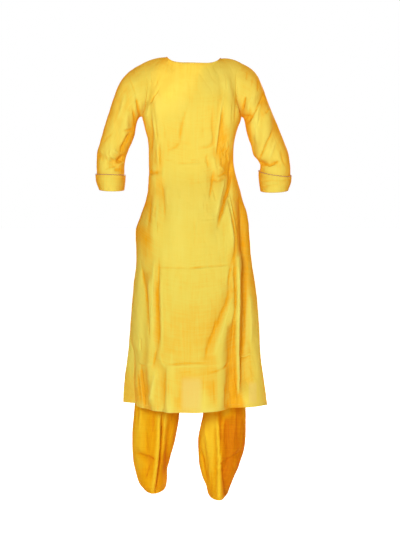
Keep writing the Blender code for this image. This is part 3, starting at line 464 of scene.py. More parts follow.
# Creases in mm as the camera sees them: (depth, half the width, x and z of each point along it).
BACK_CREASES = (
    (-2.5, 6, 8, -128, 14, -163, 24, -192, 32, -224, 37, -250, 40, -278),
    (-2.0, 6, 38, -275, 50, -288, 62, -294, 78, -299),
    (-1.0, 4, 90, -208, 88, -237, 86, -262),
    (-0.9, 4, -37, -227, -37, -262),
    (-2.4, 6, -67, -176, -67, -227, -71, -259, -69, -278, -53, -288, -24, -291),
    (3.2, 5, -106, -112, -96, -157, -90, -195, -85, -234, -80, -272, -77, -304),
    (-3.4, 4.5, -99, -163, -96, -208, -93, -240, -88, -272, -82, -307),
    (-1.2, 3, -112, -70, -112, -102),
    (-1.0, 3, -128, -70, -128, -106),
    (-2.0, 3.2, -144, -93, -143, -131, -141, -170, -138, -208),
    (-1.2, 3, -133, -131, -130, -170, -130, -214),
    (1.4, 3, -150, -138, -148, -176),
    (-1.3, 3, 130, -45, 128, -70, 130, -96),
    (-1.3, 3.5, 102, -54, 110, -80, 122, -102),
    (-3.0, 3, 104, -99, 114, -115, 125, -131, 133, -150),
    (1.4, 3, 104, -112, 117, -131, 126, -154),
    (1.8, 4, 134, -150, 141, -173, 144, -195),
    (-1.7, 3.2, 123, -147, 120, -176, 117, -211, 112, -246, 109, -275),
    (1.3, 3.2, 126, -166, 121, -218, 115, -259),
    (-2.0, 4, 130, -189, 127, -227, 127, -266, 130, -304),
    (2.0, 3, 111, -272, 109, -314, 106, -355),
    (-2.0, 3, 103, -275, 102, -317, 101, -349),
    (-1.8, 3.4, 118, -291, 118, -349),
    (-3.5, 8, 136, -368, 123, -371, 104, -368),
    (1.6, 5, 88, -352, 91, -384),
    (-1.5, 3, 5, -331, -14, -330, -30, -330),
    (-1.5, 3, 50, -340, 5, -339, -40, -337),
    (-1.1, 3, 85, -330, 59, -331),
    (1.0, 3, 37, -348, -27, -346),
    (-2.2, 3.5, -50, -310, -47, -326, -52, -339, -53, -355),
    (-1.8, 3, -42, -331, -50, -342),
    (2.6, 8, -69, -320, -74, -342, -77, -365),
    (-1.8, 3, -101, -240, -93, -272),
    (1.8, 3, -112, -269, -116, -301),
    (-2.2, 3, -96, -291, -106, -317),
    (-1.8, 3, -120, -285, -112, -310, -115, -330),
    (1.4, 3, -104, -275, -99, -294),
    (-3.0, 5, -98, -320, -99, -349),
    (1.6, 3, -115, -307, -122, -339),
    (-1.6, 3, -86, -275, -98, -294),
    (1.5, 4, -88, -349, -104, -362),
    (-3.4, 4, -69, -365, -66, -394, -62, -422, -58, -451),
    (-2.0, 3, -66, -416, -72, -435, -77, -458),
    (-2.4, 4, -82, -381, -94, -378, -110, -370),
    (-1.8, 5, -62, -390, -85, -397, -110, -387),
    (4.5, 9, -107, -384, -96, -426, -88, -467, -80, -509),
    (-8.5, 5, -126, -339, -123, -387, -117, -422, -107, -454, -99, -486, -91, -515, -85, -544),
    (4.5, 6, -112, -454, -118, -490, -125, -528, -131, -566, -133, -605),
    (-3.4, 3.4, -113, -422, -120, -464, -130, -502, -137, -541, -142, -579, -142, -618, -134, -643,
     -126, -662),
    (-2.2, 3, -123, -432, -133, -477, -142, -522, -149, -563),
    (1.8, 3, -119, -435, -128, -477, -137, -522, -144, -560),
    (-9.0, 8, -155, -458, -162, -528, -166, -602, -170, -682, -171, -778, -169, -858, -165, -912,
     -158, -950),
    (5.5, 6, -151, -643, -151, -730, -150, -826, -148, -922, -148, -1008, -150, -1110),
    (-6.5, 4.5, -140, -675, -141, -730, -142, -778, -140, -826, -134, -874, -129, -922, -128, -970),
    (2.2, 3, -133, -656, -130, -698, -134, -746),
    (-3.0, 3.4, -126, -669, -120, -701, -119, -733),
    (-2.8, 5, -122, -726, -117, -768, -109, -794, -96, -819, -88, -845, -75, -867, -62, -899, -50, -934,
     -40, -979),
    (3.6, 9, -133, -762, -123, -797, -112, -832, -101, -870, -88, -909, -72, -950),
    (-1.8, 3, -80, -835, -74, -867, -70, -896),
    (-2.6, 3.4, 82, -985, 66, -983, 30, -981, -11, -979, -43, -979),
    (1.9, 3.4, 75, -992, 21, -990, -43, -989, -107, -984),
    (-1.2, 3, 46, -1009, -2, -1007),
    (-2.8, 3.4, -56, -1011, -78, -1006, -104, -997, -117, -982, -125, -970),
    (-1.8, 3, 104, -673, 50, -675, 5, -675),
    (-2.8, 3, 5, -676, -18, -674, -46, -671),
    (-1.8, 3, -40, -671, -78, -668, -120, -664),
    (1.5, 3, 5, -682, -46, -678, -120, -672),
    (1.2, 3, 2, -669, -27, -666),
    (-3.0, 4, 104, -643, 105, -688, 108, -739, 110, -784),
    (-3.4, 6, 112, -726, 109, -803, 106, -874, 107, -938),
    (2.4, 4, 95, -733, 94, -842, 94, -944),
    (3.2, 5, 120, -656, 123, -714, 126, -778, 126, -874),
    (-3.6, 5, 163, -650, 157, -688, 150, -726, 144, -784, 141, -842, 137, -893, 135, -925),
    (-2.8, 3, 164, -899, 164, -941),
    (-2.0, 3.4, 174, -976, 162, -986, 149, -989),
    (1.8, 3.4, 149, -986, 136, -984, 120, -979),
    (-3.0, 4, 114, -938, 117, -963, 123, -989),
    (2.0, 4, 101, -957, 94, -982, 82, -995),
    (-6.0, 4.6, 163, -989, 159, -1027, 154, -1066, 151, -1123),
    (-2.2, 3, 172, -1014, 167, -1066, 163, -1107),
    (4.0, 10, 190, -1021, 197, -1091),
    (5.0, 9, 114, -1002, 123, -1053, 133, -1110),
    (-1.8, 3, 85, -989, 86, -1034, 88, -1082, 89, -1126),
    (-1.8, 3, 75, -1043, 74, -1123),
    (-1.1, 3, 29, -1014, 27, -1059),
    (-1.5, 3.4, -69, -1024, -73, -1066, -75, -1110),
    (-0.9, 3, -37, -1021, -38, -1117),
    (-2.4, 3.2, -108, -1050, -110, -1085, -108, -1126),
    (-6.0, 5, -130, -970, -132, -1014, -136, -1059, -141, -1110),
    (2.4, 4, -118, -1066, -122, -1123),
    (1.8, 3, -155, -960, -171, -957, -194, -947),
    (-2.4, 3, -155, -966, -184, -958),
    (4.0, 10, -184, -746, -190, -842, -190, -925),
    (-1.3, 3.4, -8, -502, -8, -560, -8, -618),
    (1.0, 3.4, -16, -509, -16, -605),
    (-1.5, 3, -41, -461, -41, -512),
    (-1.0, 3, -50, -467, -51, -496),
    (-1.0, 3, -24, -520, -82, -517),
    (-2.8, 4, 93, -406, 90, -445, 88, -477, 85, -515),
    (1.6, 5, 80, -419, 76, -477),
    (2.0, 3, 105, -461, 110, -496, 113, -528, 112, -560),
    (-1.5, 3, 117, -474, 120, -515),
    (-1.4, 3, 108, -522, 109, -566),
    (-2.0, 6, 130, -445, 134, -490, 139, -541),
    (-1.2, 4, 43, -419, 40, -458),
)
LEFT_SLEEVE_CREASES = (
    (-1.8, 4, 197, -70, 186, -96, 178, -122),
    (-5.0, 5, 176, -131, 170, -160, 165, -186),
    (-3.4, 4, 187, -170, 181, -195, 178, -221),
    (-3.4, 6, 184, -227, 202, -235, 219, -237),
    (-5.0, 7, 194, -240, 208, -266, 221, -288, 226, -307),
    (-2.8, 3.6, 264, -294, 267, -310, 260, -324, 246, -334),
    (-8.0, 6, 216, -314, 227, -328, 240, -336),
    (3.5, 6, 251, -298, 235, -310),
    (-1.5, 3, 283, -298, 277, -317, 272, -333),
    (-2.4, 4, 280, -363, 261, -352, 238, -348),
    (2.2, 3, 232, -346, 216, -335),
    (-3.5, 7, 248, -360, 224, -362),
    (-1.6, 4, 254, -246, 270, -256, 283, -275),
    (2.4, 7, 210, -112, 222, -157, 235, -202),
)
RIGHT_SLEEVE_CREASES = (
    (-5.5, 4, -174, -125, -168, -147, -163, -170),
    (-3.4, 5, -162, -189, -174, -192, -190, -189),
    (-4.6, 4, -232, -118, -224, -139, -211, -157, -201, -176, -190, -194, -179, -208),
    (2.8, 6, -194, -125, -184, -150, -181, -173),
    (-4.4, 4, -261, -230, -254, -253, -244, -270, -230, -301, -213, -333),
    (3.2, 7, -270, -266, -258, -298, -251, -323),
    (3.4, 7, -213, -182, -206, -227, -210, -278),
    (-2.4, 5, -258, -150, -247, -168, -235, -182),
    (-6.0, 4, -210, -336, -227, -342, -251, -346, -278, -334),
    (-2.2, 4, -213, -70, -214, -109),
    (-1.6, 3, -178, -42, -176, -74),
    (-1.5, 3, -197, -67, -192, -93),
    (-1.8, 4, -286, -298, -293, -330, -302, -349),
)
RIGHT_CUFF_CREASES = (
    (-1.7, 3, -222, -400, -258, -394, -290, -397, -315, -392),
    (-1.2, 3, -226, -418, -254, -410, -299, -406),
)
LEFT_LEG_CREASES = (
    (6.0, 6, 103, -1133, 105, -1187, 108, -1249, 113, -1300, 119, -1345, 125, -1392),
    (-8.0, 3.4, 90, -1133, 93, -1170, 96, -1210, 99, -1249, 103, -1297, 108, -1340, 114, -1393),
    (-2.6, 8, 64, -1133, 69, -1187, 75, -1229, 80, -1274, 83, -1322, 87, -1373),
    (-2.8, 3.4, 187, -1264, 158, -1272, 133, -1279, 112, -1293),
    (-2.2, 4, 172, -1110, 174, -1194),
    (1.6, 4, 164, -1123, 165, -1200),
    (-1.8, 5, 122, -1136, 122, -1216),
    (-1.6, 4, 146, -1194, 142, -1264),
    (-2.0, 4, 133, -1302, 146, -1347),
)
RIGHT_LEG_CREASES = (
    (-5.0, 3.2, -90, -1130, -93, -1175, -96, -1217, -93, -1262, -84, -1296),
    (3.0, 6, -80, -1135, -84, -1200, -83, -1250),
    (6.0, 7, -90, -1226, -89, -1274, -88, -1322, -88, -1414),
    (-2.8, 3.4, -77, -1300, -99, -1300, -112, -1292, -133, -1277, -162, -1261),
    (-8.0, 8, -105, -1302, -110, -1354, -113, -1408),
    (2.6, 4, -140, -1126, -139, -1178, -133, -1235),
    (-2.4, 4, -112, -1149, -109, -1194, -107, -1245),
    (1.8, 4, -123, -1162, -120, -1245),
    (-5.0, 4, -27, -1251, -37, -1293, -41, -1322, -48, -1357),
    (2.4, 5, -43, -1174, -48, -1226, -53, -1277),
    (-2.6, 4, -130, -1299, -140, -1328),
    (-1.8, 4, -62, -1322, -62, -1392),
)

# Creases of the sides that face -Y, in mm of the part's own x and z. Those of the left sleeve and leg are
# mirrored for the right.
FRONT_CREASES = (
    (-2.2, 6, -96, -150, -92, -200, -104, -262, -112, -330),
    (2.4, 6, -120, -210, -112, -280, -106, -350, -104, -410),
    (-2.4, 6, 98, -160, 96, -215, 108, -270, 114, -326),
    (2.2, 6, 122, -215, 114, -285, 110, -352, 104, -405),
    (-1.2, 4, -132, -226, -108, -236, -88, -252),
    (-1.3, 4, 134, -222, 112, -238, 94, -250),
    (-1.5, 5, -64, -300, -40, -312, -10, -316, 22, -310, 50, -298),
    (1.1, 5, -50, -322, -12, -328, 30, -324),
    (-1.5, 4, -130, -362, -100, -372, -64, -374, -30, -368),
    (1.5, 5, -124, -380, -90, -390, -50, -391),
    (-1.6, 4, 128, -374, 96, -386, 58, -387, 28, -379),
    (1.4, 4, 122, -396, 88, -404, 52, -401),
    (-2.2, 4, -128, -402, -104, -420, -84, -446),
    (-1.9, 4, 132, -412, 106, -430, 88, -452),
    (-1.8, 5, -60, -420, -56, -480, -64, -548),
    (-1.7, 5, 66, -430, 60, -486, 68, -560),
    (1.3, 6, -20, -400, -18, -460, -24, -540),
    (-3.0, 6, -130, -470, -138, -540, -140, -620),
    (-2.8, 6, 138, -480, 142, -560, 146, -640),
    (-2.4, 6, -104, -560, -96, -680, -104, -800, -112, -930),
    (2.2, 7, -80, -600, -74, -740, -80, -880, -88, -1020),
    (-2.6, 6, -44, -640, -40, -760, -44, -900, -50, -1090),
    (2.0, 8, -8, -620, -6, -800, -8, -1000),
    (-2.2, 6, 30, -700, 34, -850, 32, -1000, 36, -1100),
    (2.4, 7, 62, -600, 66, -760, 70, -920, 74, -1080),
    (-2.8, 6, 100, -560, 98, -700, 104, -860, 112, -1020),
    (2.4, 6, 124, -640, 128, -800, 132, -960),
    (-3.2, 6, 152, -700, 156, -860, 160, -1010),
    (-3.0, 6, -150, -690, -158, -860, -164, -1000),
    (2.2, 6, -126, -660, -130, -800, -136, -980),
    (-0.9, 3, -170, -640, -90, -646, 0, -648, 90, -645, 170, -640),
    (-0.8, 3, -190, -880, -100, -888, 0, -890, 100, -887, 190, -880),
)
FRONT_OF_SLEEVE_CREASES = (
    (-3.4, 5, 176, -128, 184, -152, 196, -180, 206, -208),
    (2.4, 6, 192, -118, 204, -146, 216, -178),
    (-2.6, 5, 214, -130, 224, -166, 232, -205),
    (-3.2, 4, 190, -238, 206, -246, 228, -246, 250, -236),
    (2.6, 5, 196, -256, 220, -262, 244, -256),
    (-3.0, 4, 204, -280, 226, -284, 252, -278, 272, -266),
    (2.0, 6, 226, -290, 240, -314, 250, -340),
    (-2.4, 5, 262, -290, 266, -318, 270, -344),
    (-3.4, 5, 222, -344, 246, -352, 272, -350),
)
FRONT_OF_LEG_CREASES = (
    (3.4, 6, 118, -1120, 120, -1180, 124, -1250, 122, -1330, 116, -1376),
    (-3.4, 5, 102, -1130, 102, -1200, 106, -1270, 104, -1350),
    (-3.2, 5, 140, -1120, 144, -1190, 142, -1262, 136, -1340),
    (-2.6, 4, 178, -1240, 156, -1252, 130, -1258, 108, -1268),
    (2.0, 4, 172, -1262, 150, -1270, 128, -1274),
    (-2.4, 4, 168, -1296, 140, -1306, 112, -1302),
    (-2.2, 5, 78, -1140, 80, -1210, 86, -1290),
    (2.2, 5, 162, -1100, 166, -1170, 162, -1240),
)

# Painted shade at the very sides of the wearer, where the cloth turns away from the light: how far sunk
# it counts as.
SIDE_SHADE = Table(
    "z depth", (-1.1, 0.0008), (-0.9, 0.0020), (-0.7, 0.0042), (-0.4, 0.0060), (-0.1, 0.0045)
)

# Painted light and shade: soft places of the back, in mm as the camera sees them, painted paler (above 0)
# or deeper: the hollows of the waist, the edges that stand away from the body, and the sides of the legs.
SHADES = (
    # (amount, x, z, half the width, half the height)
    (4.4, 177, -810, 24, 200),
    (2.2, 140, -830, 20, 110),
    (4.0, -204, -990, 44, 190),
    (3.4, -168, -900, 14, 190),
    (2.4, -174, -760, 22, 110),
    (-2.6, -106, -285, 16, 75),
    (-3.0, -146, -610, 18, 125),
    (3.6, -114, -450, 18, 66),
    (2.4, -84, -530, 14, 70),
    (2.0, 60, -520, 40, 140),
    (-2.0, 101, -370, 12, 70),
    (-1.2, 140, -540, 18, 60),
    (3.0, -90, -75, 54, 44),
    (2.2, -140, -125, 18, 60),
    (1.6, 75, -110, 70, 62),
    (-2.2, 190, -1060, 34, 60),
    (-1.8, 148, -592, 20, 52),
    (2.6, 132, -220, 18, 110),
    (2.4, 162, -150, 24, 50),
    (3.8, -206, -215, 14, 100),
    (3.0, 201, -208, 12, 30),
    (1.6, -115, -32, 40, 30),
    (1.6, 272, -325, 26, 50),
    (1.6, -250, -330, 26, 40),
    (-1.8, 10, -950, 125, 150),
    (-2.4, 10, -1080, 90, 60),
    (3.6, -104, -1040, 20, 110),
    (3.6, -118, -1112, 24, 38),
    (2.0, -155, -1015, 12, 50),
    (1.6, 46, -1052, 20, 36),
    (-3.0, -60, -1088, 15, 46),
    (1.6, 100, -1040, 12, 50),
    (1.6, -40, -475, 90, 60),
    (1.8, -155, -765, 12, 70),
    (2.6, 152, -512, 14, 32),
    (-1.8, -130, -665, 14, 55),
    (-1.6, -84, -318, 18, 30),
    (1.4, 20, -185, 16, 50),
    (3.6, 165, -1225, 28, 110),
    (3.8, 82, -1180, 20, 90),
    (5.0, -50, -1210, 24, 160),
    (-6.0, -142, -1265, 30, 140),
    (-3.0, -108, -1250, 12, 100),
    (3.0, -62, -1160, 16, 26),
    (3.0, 96, -1160, 16, 26),
    (-1.8, 138, -1300, 24, 50),
    (-2.8, -124, -1308, 24, 50),
)
# Painted light: pale places of the back, where light would show through the cloth with nothing behind it,
# in rows of the same kind.
PAINTED_BACKLIGHT = (
    (1, 0, -1080, 33, 54),
    (1, -196, -1075, 13, 34),
)


def normals(grid, out, closed_from=None):
    """Unit normals of the sheet. Its last column meets its first from row closed_from down."""
    across = np.gradient(grid, axis=1)
    if closed_from is not None:
        meeting = (grid[closed_from:, 1] - grid[closed_from:, -2]) / 2
        across[closed_from:, 0] = across[closed_from:, -1] = meeting
    return out * unit(np.cross(across, np.gradient(grid, axis=0)))


def fold_shift(x, z, folds):
    """How far the main folds raise or sink the points that lie at x and z."""
    shift = np.zeros_like(x)
    for x0, z0, x1, z1, half0, half1, depth0, depth1 in np.array(folds) / TO_MM:
        run_x, run_z = x1 - x0, z1 - z0
        length = np.hypot(run_x, run_z)
        along = ((x - x0) * run_x + (z - z0) * run_z) / length**2
        t = np.clip(along, 0, 1)
        half = half0 + (half1 - half0) * t
        aside = ((x - x0) * run_z - (z - z0) * run_x) / length
        beyond = (along - t) * length
        near = np.exp(-(aside**2 + (beyond / FOLD_END) ** 2) / half**2)
        shift += (depth0 + (depth1 - depth0) * t) * near
    return shift


def nearest(x, z, line):
    """Each point's distance from a line, and how far along the line it comes nearest, from 0 to 1."""
    lengths = np.linalg.norm(np.diff(line, axis=0), axis=1)
    starts = run_along(line)
    distance, along = np.full_like(x, np.inf), np.zeros_like(x)
    for (x0, z0), (x1, z1), length, start in zip(line[:-1], line[1:], lengths, starts):
        t = np.clip(((x - x0) * (x1 - x0) + (z - z0) * (z1 - z0)) / length**2, 0, 1)
        here = np.hypot(x - x0 - t * (x1 - x0), z - z0 - t * (z1 - z0))
        closer = here < distance
        distance = np.where(closer, here, distance)
        along = np.where(closer, (start + t * length) / starts[-1], along)
    return distance, along


def crease_shift(x, z, creases):
    """How far the creases raise or sink the points at x and z, as cloth, and their thin lines of painted
    shade and light.
    """
    x, z = TO_MM * x, TO_MM * z
    shift, lines = np.zeros_like(x), np.zeros_like(x)
    for depth, half, *line in creases:
        line = np.reshape(line, (-1, 2)).astype(float)
        (left, low), (right, high) = line.min(axis=0), line.max(axis=0)
        reach = CREASE_REACH * half
        near = (x > left - reach) & (x < right + reach) & (z > low - reach) & (z < high + reach)
        distance, along = nearest(x[near], z[near], line)
        ends = CREASE_END + (1 - CREASE_END) * ease(np.minimum(along, 1 - along) / CREASE_TAPER)
        away = distance / half
        soft, sharp = np.exp(-(away**2)), np.exp(-CREASE_FALL * away)
        height = MM * CREASE_SCALE * depth * ends
        shift[near] += height * ((1 - CREASE_EDGE) * soft + CREASE_EDGE * sharp)
        lines[near] += height * np.exp(-((away / CREASE_LINE) ** 2))
    return np.stack([shift, lines])


def as_seen(points):
    """Where points appear from the camera, at the scale of the upright plane through the shoulders."""
    ahead = np.array((CAMERA_TO - CAMERA_AT).normalized())
    above = np.array([0, ahead[2], -ahead[1]])
    places = points - np.array(CAMERA_AT)
    scale = CAMERA_AT.y / (places @ ahead)
    return CAMERA_AT.x + places[..., 0] * scale, CAMERA_TO.z + places @ above * scale


def soft_places(points, places, edge):
    """How much each point has of the places listed in mm, as the camera sees them."""
    x, z = (TO_MM * seen for seen in as_seen(points))
    total = np.zeros_like(x)
    for amount, at_x, at_z, half_width, half_height in places:
        away = ((x - at_x) / half_width) ** edge + ((z - at_z) / half_height) ** edge
        total += amount * np.exp(-away)
    return total


def unevenness(points, length, seed):
    """Smooth noise, about -1 to 1, that varies over the given length."""
    places = points.reshape(-1, 3) / length + seed
    return np.array([noise.noise(place) for place in places.tolist()]).reshape(points.shape[:-1])


def flat_places(grid):
    """Each point's place on the flat cloth: across from the middle column, and down from the top."""
    steps = np.linalg.norm(np.diff(grid, axis=1), axis=-1)
    across = np.pad(np.cumsum(steps, axis=1), ((0, 0), (1, 0)))
    across -= across[:, grid.shape[1] // 2, None]
    steps = np.linalg.norm(np.diff(grid, axis=0), axis=-1)
    down = np.pad(np.cumsum(steps, axis=0), ((1, 0), (0, 0)))
    return np.stack([across, -down], axis=-1)


class Sheet:
    """A piece of cloth: its points, its places on the flat cloth, and the shading painted on each point.

    Painted light and shade: raised places are painted paler, and sunk ones and those at the sides of the
    wearer, turned away from the light, a deeper colour.
    """

    def __init__(self, grid, out, closed_from=None):
        self.points, self.out, self.closed_from = grid, out, closed_from
        self.grain = flat_places(grid)
        # Painted shade where the cloth turns sideways, away from the light.
        self.painted_shading = SIDE_SHADE.read("depth", grid[..., 2]) * (np.abs(self.normals()[..., 1]) - 1)

    def normals(self):
        return normals(self.points, self.out, self.closed_from)

    def turned(self, facing, full):
        """Which part of the sheet faces +Y (1) or -Y (-1), from 0 to 1."""
        return ease((self.normals()[..., 1] * facing - EDGE_ON) / full)

    def own(self, side):
        """The points' own x and z. Where side is -1, x is told as on the other side of the wearer."""
        return side * self.points[..., 0], self.points[..., 2]

    def lift(self, shift, shade=1.0):
        # Moves the points, and paints shade into troughs and light onto ridges by the same shift.
        self.points = self.points + self.normals() * shift[..., None]
        self.painted_shading = self.painted_shading + shift * shade

    def folded(self, folds, facing, side=1):
        """How far the folds of the side that faces +Y (1) or -Y (-1) raise or sink each point."""
        return fold_shift(*self.own(side), folds) * self.turned(facing, FOLD_TURN)

    def crease(self, back, front, weight, side=1):
        """Creases the side that faces +Y as the camera sees it, and the other in its own x and z."""
        behind = crease_shift(*as_seen(self.points), back) * self.turned(1, CREASE_TURN)
        before = crease_shift(*self.own(side), front) * self.turned(-1, CREASE_TURN)
        shift, lines = (behind + before) * weight
        self.lift(shift, CREASE_SHADE)
        # Painted shade along sunk creases and painted light along raised ones.
        self.painted_shading += LINE_SHADE * lines

    def shade(self):
        """Paints light and shade into the soft places of the back, paler or deeper."""
        self.painted_shading += MM * soft_places(self.points, SHADES, SHADE_EDGE) * self.turned(1, CREASE_TURN)

    def wave(self, weight):
        """The unevenness of cloth that has hung and been handled."""
        shift = sum(size * unevenness(self.points, length, seed) for size, length, seed in HANG_WAVES)
        upright = self.points * [1, 1, CRUMPLE_DROP]
        ridge = 1 - 2 * np.abs(unevenness(upright, CRUMPLE_LENGTH, CRUMPLE_SEED)) ** CRUMPLE_POWER
        # Painted shade in the troughs of the waves and crumples, and painted light on their ridges.
        self.lift((shift - CRUMPLE * ridge) * weight, WAVE_SHADE)

    def pucker(self, distance):
        """The small puckers that a seam at this distance draws in the cloth."""
        beside = np.exp(-((distance / PUCKER_REACH) ** 2)) * ease(distance / SEAM_FADE)
        uneven = PUCKER_MEAN + unevenness(self.points, PUCKER_LENGTH, PUCKER_SEED)
        self.lift(PUCKER * beside * uneven)


def panel_row(z, facing):
    """Points across the back or the front at height z, from the wearer's right to the left."""
    slit = BACK_SLIT if facing > 0 else FRONT_SLIT
    drop = SLIT_TOP - z
    on_left = ACROSS > 0
    wrap = np.where(on_left, slit.read("left_wrap", drop), slit.read("right_wrap", drop))
    edge_y = np.where(on_left, slit.read("left_y", drop), slit.read("right_y", drop))
    left = BODY.read("left", z) - slit.read("left_in", drop)
    right = BODY.read("right", z) - slit.read("right_in", drop)
    turn = ACROSS * np.radians(90 + wrap)
    power = ROUNDNESS.read("power", z)
    deep = np.maximum(np.cos(turn), 0) ** power
    depth = facing * BODY.read("back" if facing > 0 else "front", z)
    x = np.where(on_left, left, -right) * np.abs(np.sin(turn)) ** power
    y = edge_y * (1 - deep) + depth * deep + facing * WRAP_DEPTH * np.minimum(np.cos(turn) + TINY, 0)
    rise = BACK_HEM_RISE.read("rise", ACROSS) * ease(drop / (SLIT_TOP - HEM)) if facing > 0 else 0
    return np.stack([x, y, z + rise + np.zeros_like(x)], axis=-1)


def shoulder_seam(tip, neck):
    t = np.linspace(0, 1, SHOULDER_COLUMNS + 1)[:, None]
    return tip + (neck - tip) * t + 4 * t * (1 - t) * np.array([0, 0, SHOULDER_RISE])


def panel_top(facing):
    """The right shoulder seam, the neckline and the left shoulder seam."""
    drop, reach, power = BACK_NECK if facing > 0 else FRONT_NECK
    turn = np.linspace(np.pi, 0, COLUMNS - 2 * SHOULDER_COLUMNS + 1)[1:-1]
    middle, half = (LEFT_NECK + RIGHT_NECK) / 2, (LEFT_NECK - RIGHT_NECK) / 2
    neckline = middle + np.cos(turn)[:, None] * half
    neckline[:, 1] += facing * reach * np.sin(turn) ** NECK_ROUND
    neckline[:, 2] -= drop * (1 - np.abs(np.cos(turn)) ** power)
    right, left = shoulder_seam(RIGHT_TIP, RIGHT_NECK), shoulder_seam(LEFT_TIP, LEFT_NECK)[::-1]
    return np.concatenate([right, neckline, left])


def smoothed(line, width=CORNER_WIDTH):
    """The line with its corners taken off over this width, between the same ends."""
    longer = np.concatenate([2 * line[0] - line[:0:-1], line, 2 * line[-1] - line[-2::-1]])
    own, other = np.linspace(-1, 1, len(line)), np.linspace(-3, 3, len(longer))
    weights = np.exp(-(((own[:, None] - other) / width) ** 2))
    return weights @ longer / weights.sum(axis=1, keepdims=True)


def directions(table):
    x, y, z = (table.read(name, np.abs(ACROSS)) for name in "xyz")
    return np.stack([np.sign(ACROSS) * x, y, z], axis=-1)


def panel_grid(facing):
    """The plain back or front: rows down the armholes, then level rows to the hem."""
    leaves, reaches = (BACK_LEAVES, BACK_REACHES) if facing > 0 else (FRONT_LEAVES, FRONT_REACHES)
    t = np.linspace(0, 1, ARMHOLE_ROWS + 1)[:-1, None, None]
    top = panel_top(facing)
    start = smoothed(top)
    upper = hermite(start, directions(leaves), panel_row(ARM_LEVEL, facing), directions(reaches), t)
    for row, faded in zip(upper, ease(t.ravel() / CORNER_FADE)):
        row += smoothed(top, CORNER_WIDTH * faded**0.5 + LEAST_WIDTH) - start
    upper[0] = top
    lower = [panel_row(z, facing) for z in np.linspace(ARM_LEVEL, HEM, BODY_ROWS + 1)]
    return np.concatenate([upper, np.array(lower)])


def body_panel(facing, folds, creases):
    """The back or the front, folded and creased between its seams. Creases come as (back, front)."""
    sheet = Sheet(panel_grid(facing), facing)
    row = np.arange(len(sheet.points))[:, None]
    below = row - ARMHOLE_ROWS - SLIT_ROW
    from_seam = np.maximum(ease((1 - np.abs(ACROSS)) / SIDE_FADE), ease(below / SLIT_FADE))
    weight = from_seam * ease(row / SHOULDER_FADE)
    sheet.lift(sheet.folded(folds, facing) * weight, FOLD_SHADE)
    distance = seam_distance(sheet)
    free = ease(distance / SEAM_FADE)
    sheet.crease(*creases, free)
    sheet.wave(free)
    sheet.pucker(distance)
    sheet.shade()
    return sheet


def seam_distance(sheet):
    """Each point's distance, over the cloth, from the seams of a body panel."""
    across, down = sheet.grain[..., 0], -sheet.grain[..., 1]
    aside = np.minimum(across - across[:, :1], across[:, -1:] - across)
    row = np.arange(len(across))[:, None]
    aside = aside + SEAM_FREE * ease((row - ARMHOLE_ROWS - SLIT_ROW) / SLIT_FREE)
    column = np.arange(across.shape[1])
    to_neck = np.minimum(column, COLUMNS - column) - SHOULDER_COLUMNS
    return np.minimum(aside, down + SEAM_FREE * ease(to_neck / NECK_FREE))


def armhole(back, front, column):
    """The armhole as a loop: from the shoulder tip down the back to the underarm, and up the front."""
    down = back[: ARMHOLE_ROWS + 1, column]
    up = front[:ARMHOLE_ROWS, column][::-1]
    return np.concatenate([down, up])


def sleeve_ring(table, ring, swell=0.0):
    turn = np.linspace(0, 2 * np.pi, 2 * ARMHOLE_ROWS + 1)[:, None]
    outer, inner = table.point("outer", ring), table.point("inner", ring)
    reach = (outer - inner) / 2
    reach *= 1 + swell / np.linalg.norm(reach)
    forward = np.array([0, table.read("half_depth", ring) + swell, -table.read("slant", ring)])
    middle = (outer + inner) / 2 + np.array([0, table.read("mid_y", ring), 0])
    return middle + np.cos(turn) * reach + np.sin(turn) * forward


def sleeve(table, loop, out, folds, creases):
    rings = np.linspace(0, SLEEVE_END, SLEEVE_RINGS + 1)
    off_oval = loop - sleeve_ring(table, 0)
    grid = np.array([sleeve_ring(table, r) + off_oval * (1 - ease(r / OVAL_FROM)) for r in rings])
    sheet = Sheet(grid, out, 0)
    weight = ease(rings / SLEEVE_FADE) * ease((CUFF_FROM - rings) / CUFF_FADE)
    sheet.lift(sheet.folded(folds, 1) * weight[:, None], FOLD_SHADE)
    distance = -sheet.grain[..., 1]
    free = ease(distance / SEAM_FADE) * ease((CUFF_FROM - rings) / CUFF_TOP_FADE)[:, None]
    sheet.crease(creases, FRONT_OF_SLEEVE_CREASES, free, -out)
    sheet.wave(free)
    sheet.pucker(distance)
    sheet.shade()
    return sheet


def cuff(table, out, creases, sleeve_end):
    """The cuff turned up over the sleeve, with the fold at its low edge that joins the sleeve's end."""
    rings = np.linspace(CUFF_FROM, CUFF_TO, CUFF_RINGS + 1)
    swells = CUFF_CLEAR + WALL + CUFF_FLARE * (CUFF_TO - rings)
    sheet = Sheet(np.array([sleeve_ring(table, *ring) for ring in zip(rings, swells)]), out, 0)
    sheet.crease(creases, (), ease((CUFF_TO - rings) / CUFF_HEM_FADE)[:, None])
    sheet.wave(CUFF_WAVE)
    low = sheet.points[-1]
    fold = (low + sleeve_end) / 2 + CUFF_BULGE * (low - sheet.points[-2])
    sheet.points = np.concatenate([sheet.points, [fold, sleeve_end]])
    sheet.grain = np.concatenate([sheet.grain, sheet.grain[-1:], sheet.grain[-1:]])
    sheet.painted_shading = np.concatenate([sheet.painted_shading, sheet.painted_shading[-1:], sheet.painted_shading[-1:]])
    return sheet


def piping_path(table):
    """The middle of the cord that stands on the top edge of the cuff."""
    return sleeve_ring(table, CUFF_FROM - PIPING_ABOVE, CUFF_CLEAR + WALL + PIPING_OUT)[:-1]


def oval(turn, middle, half_width, mid_y, half_depth, power=1.0):
    """Points at angles from the outer side (0), by the back (90 degrees), to the inner side (180)."""
    x = middle + half_width * np.cos(turn)
    y = mid_y + half_depth * np.sign(np.sin(turn)) * np.abs(np.sin(turn)) ** power
    return x, y


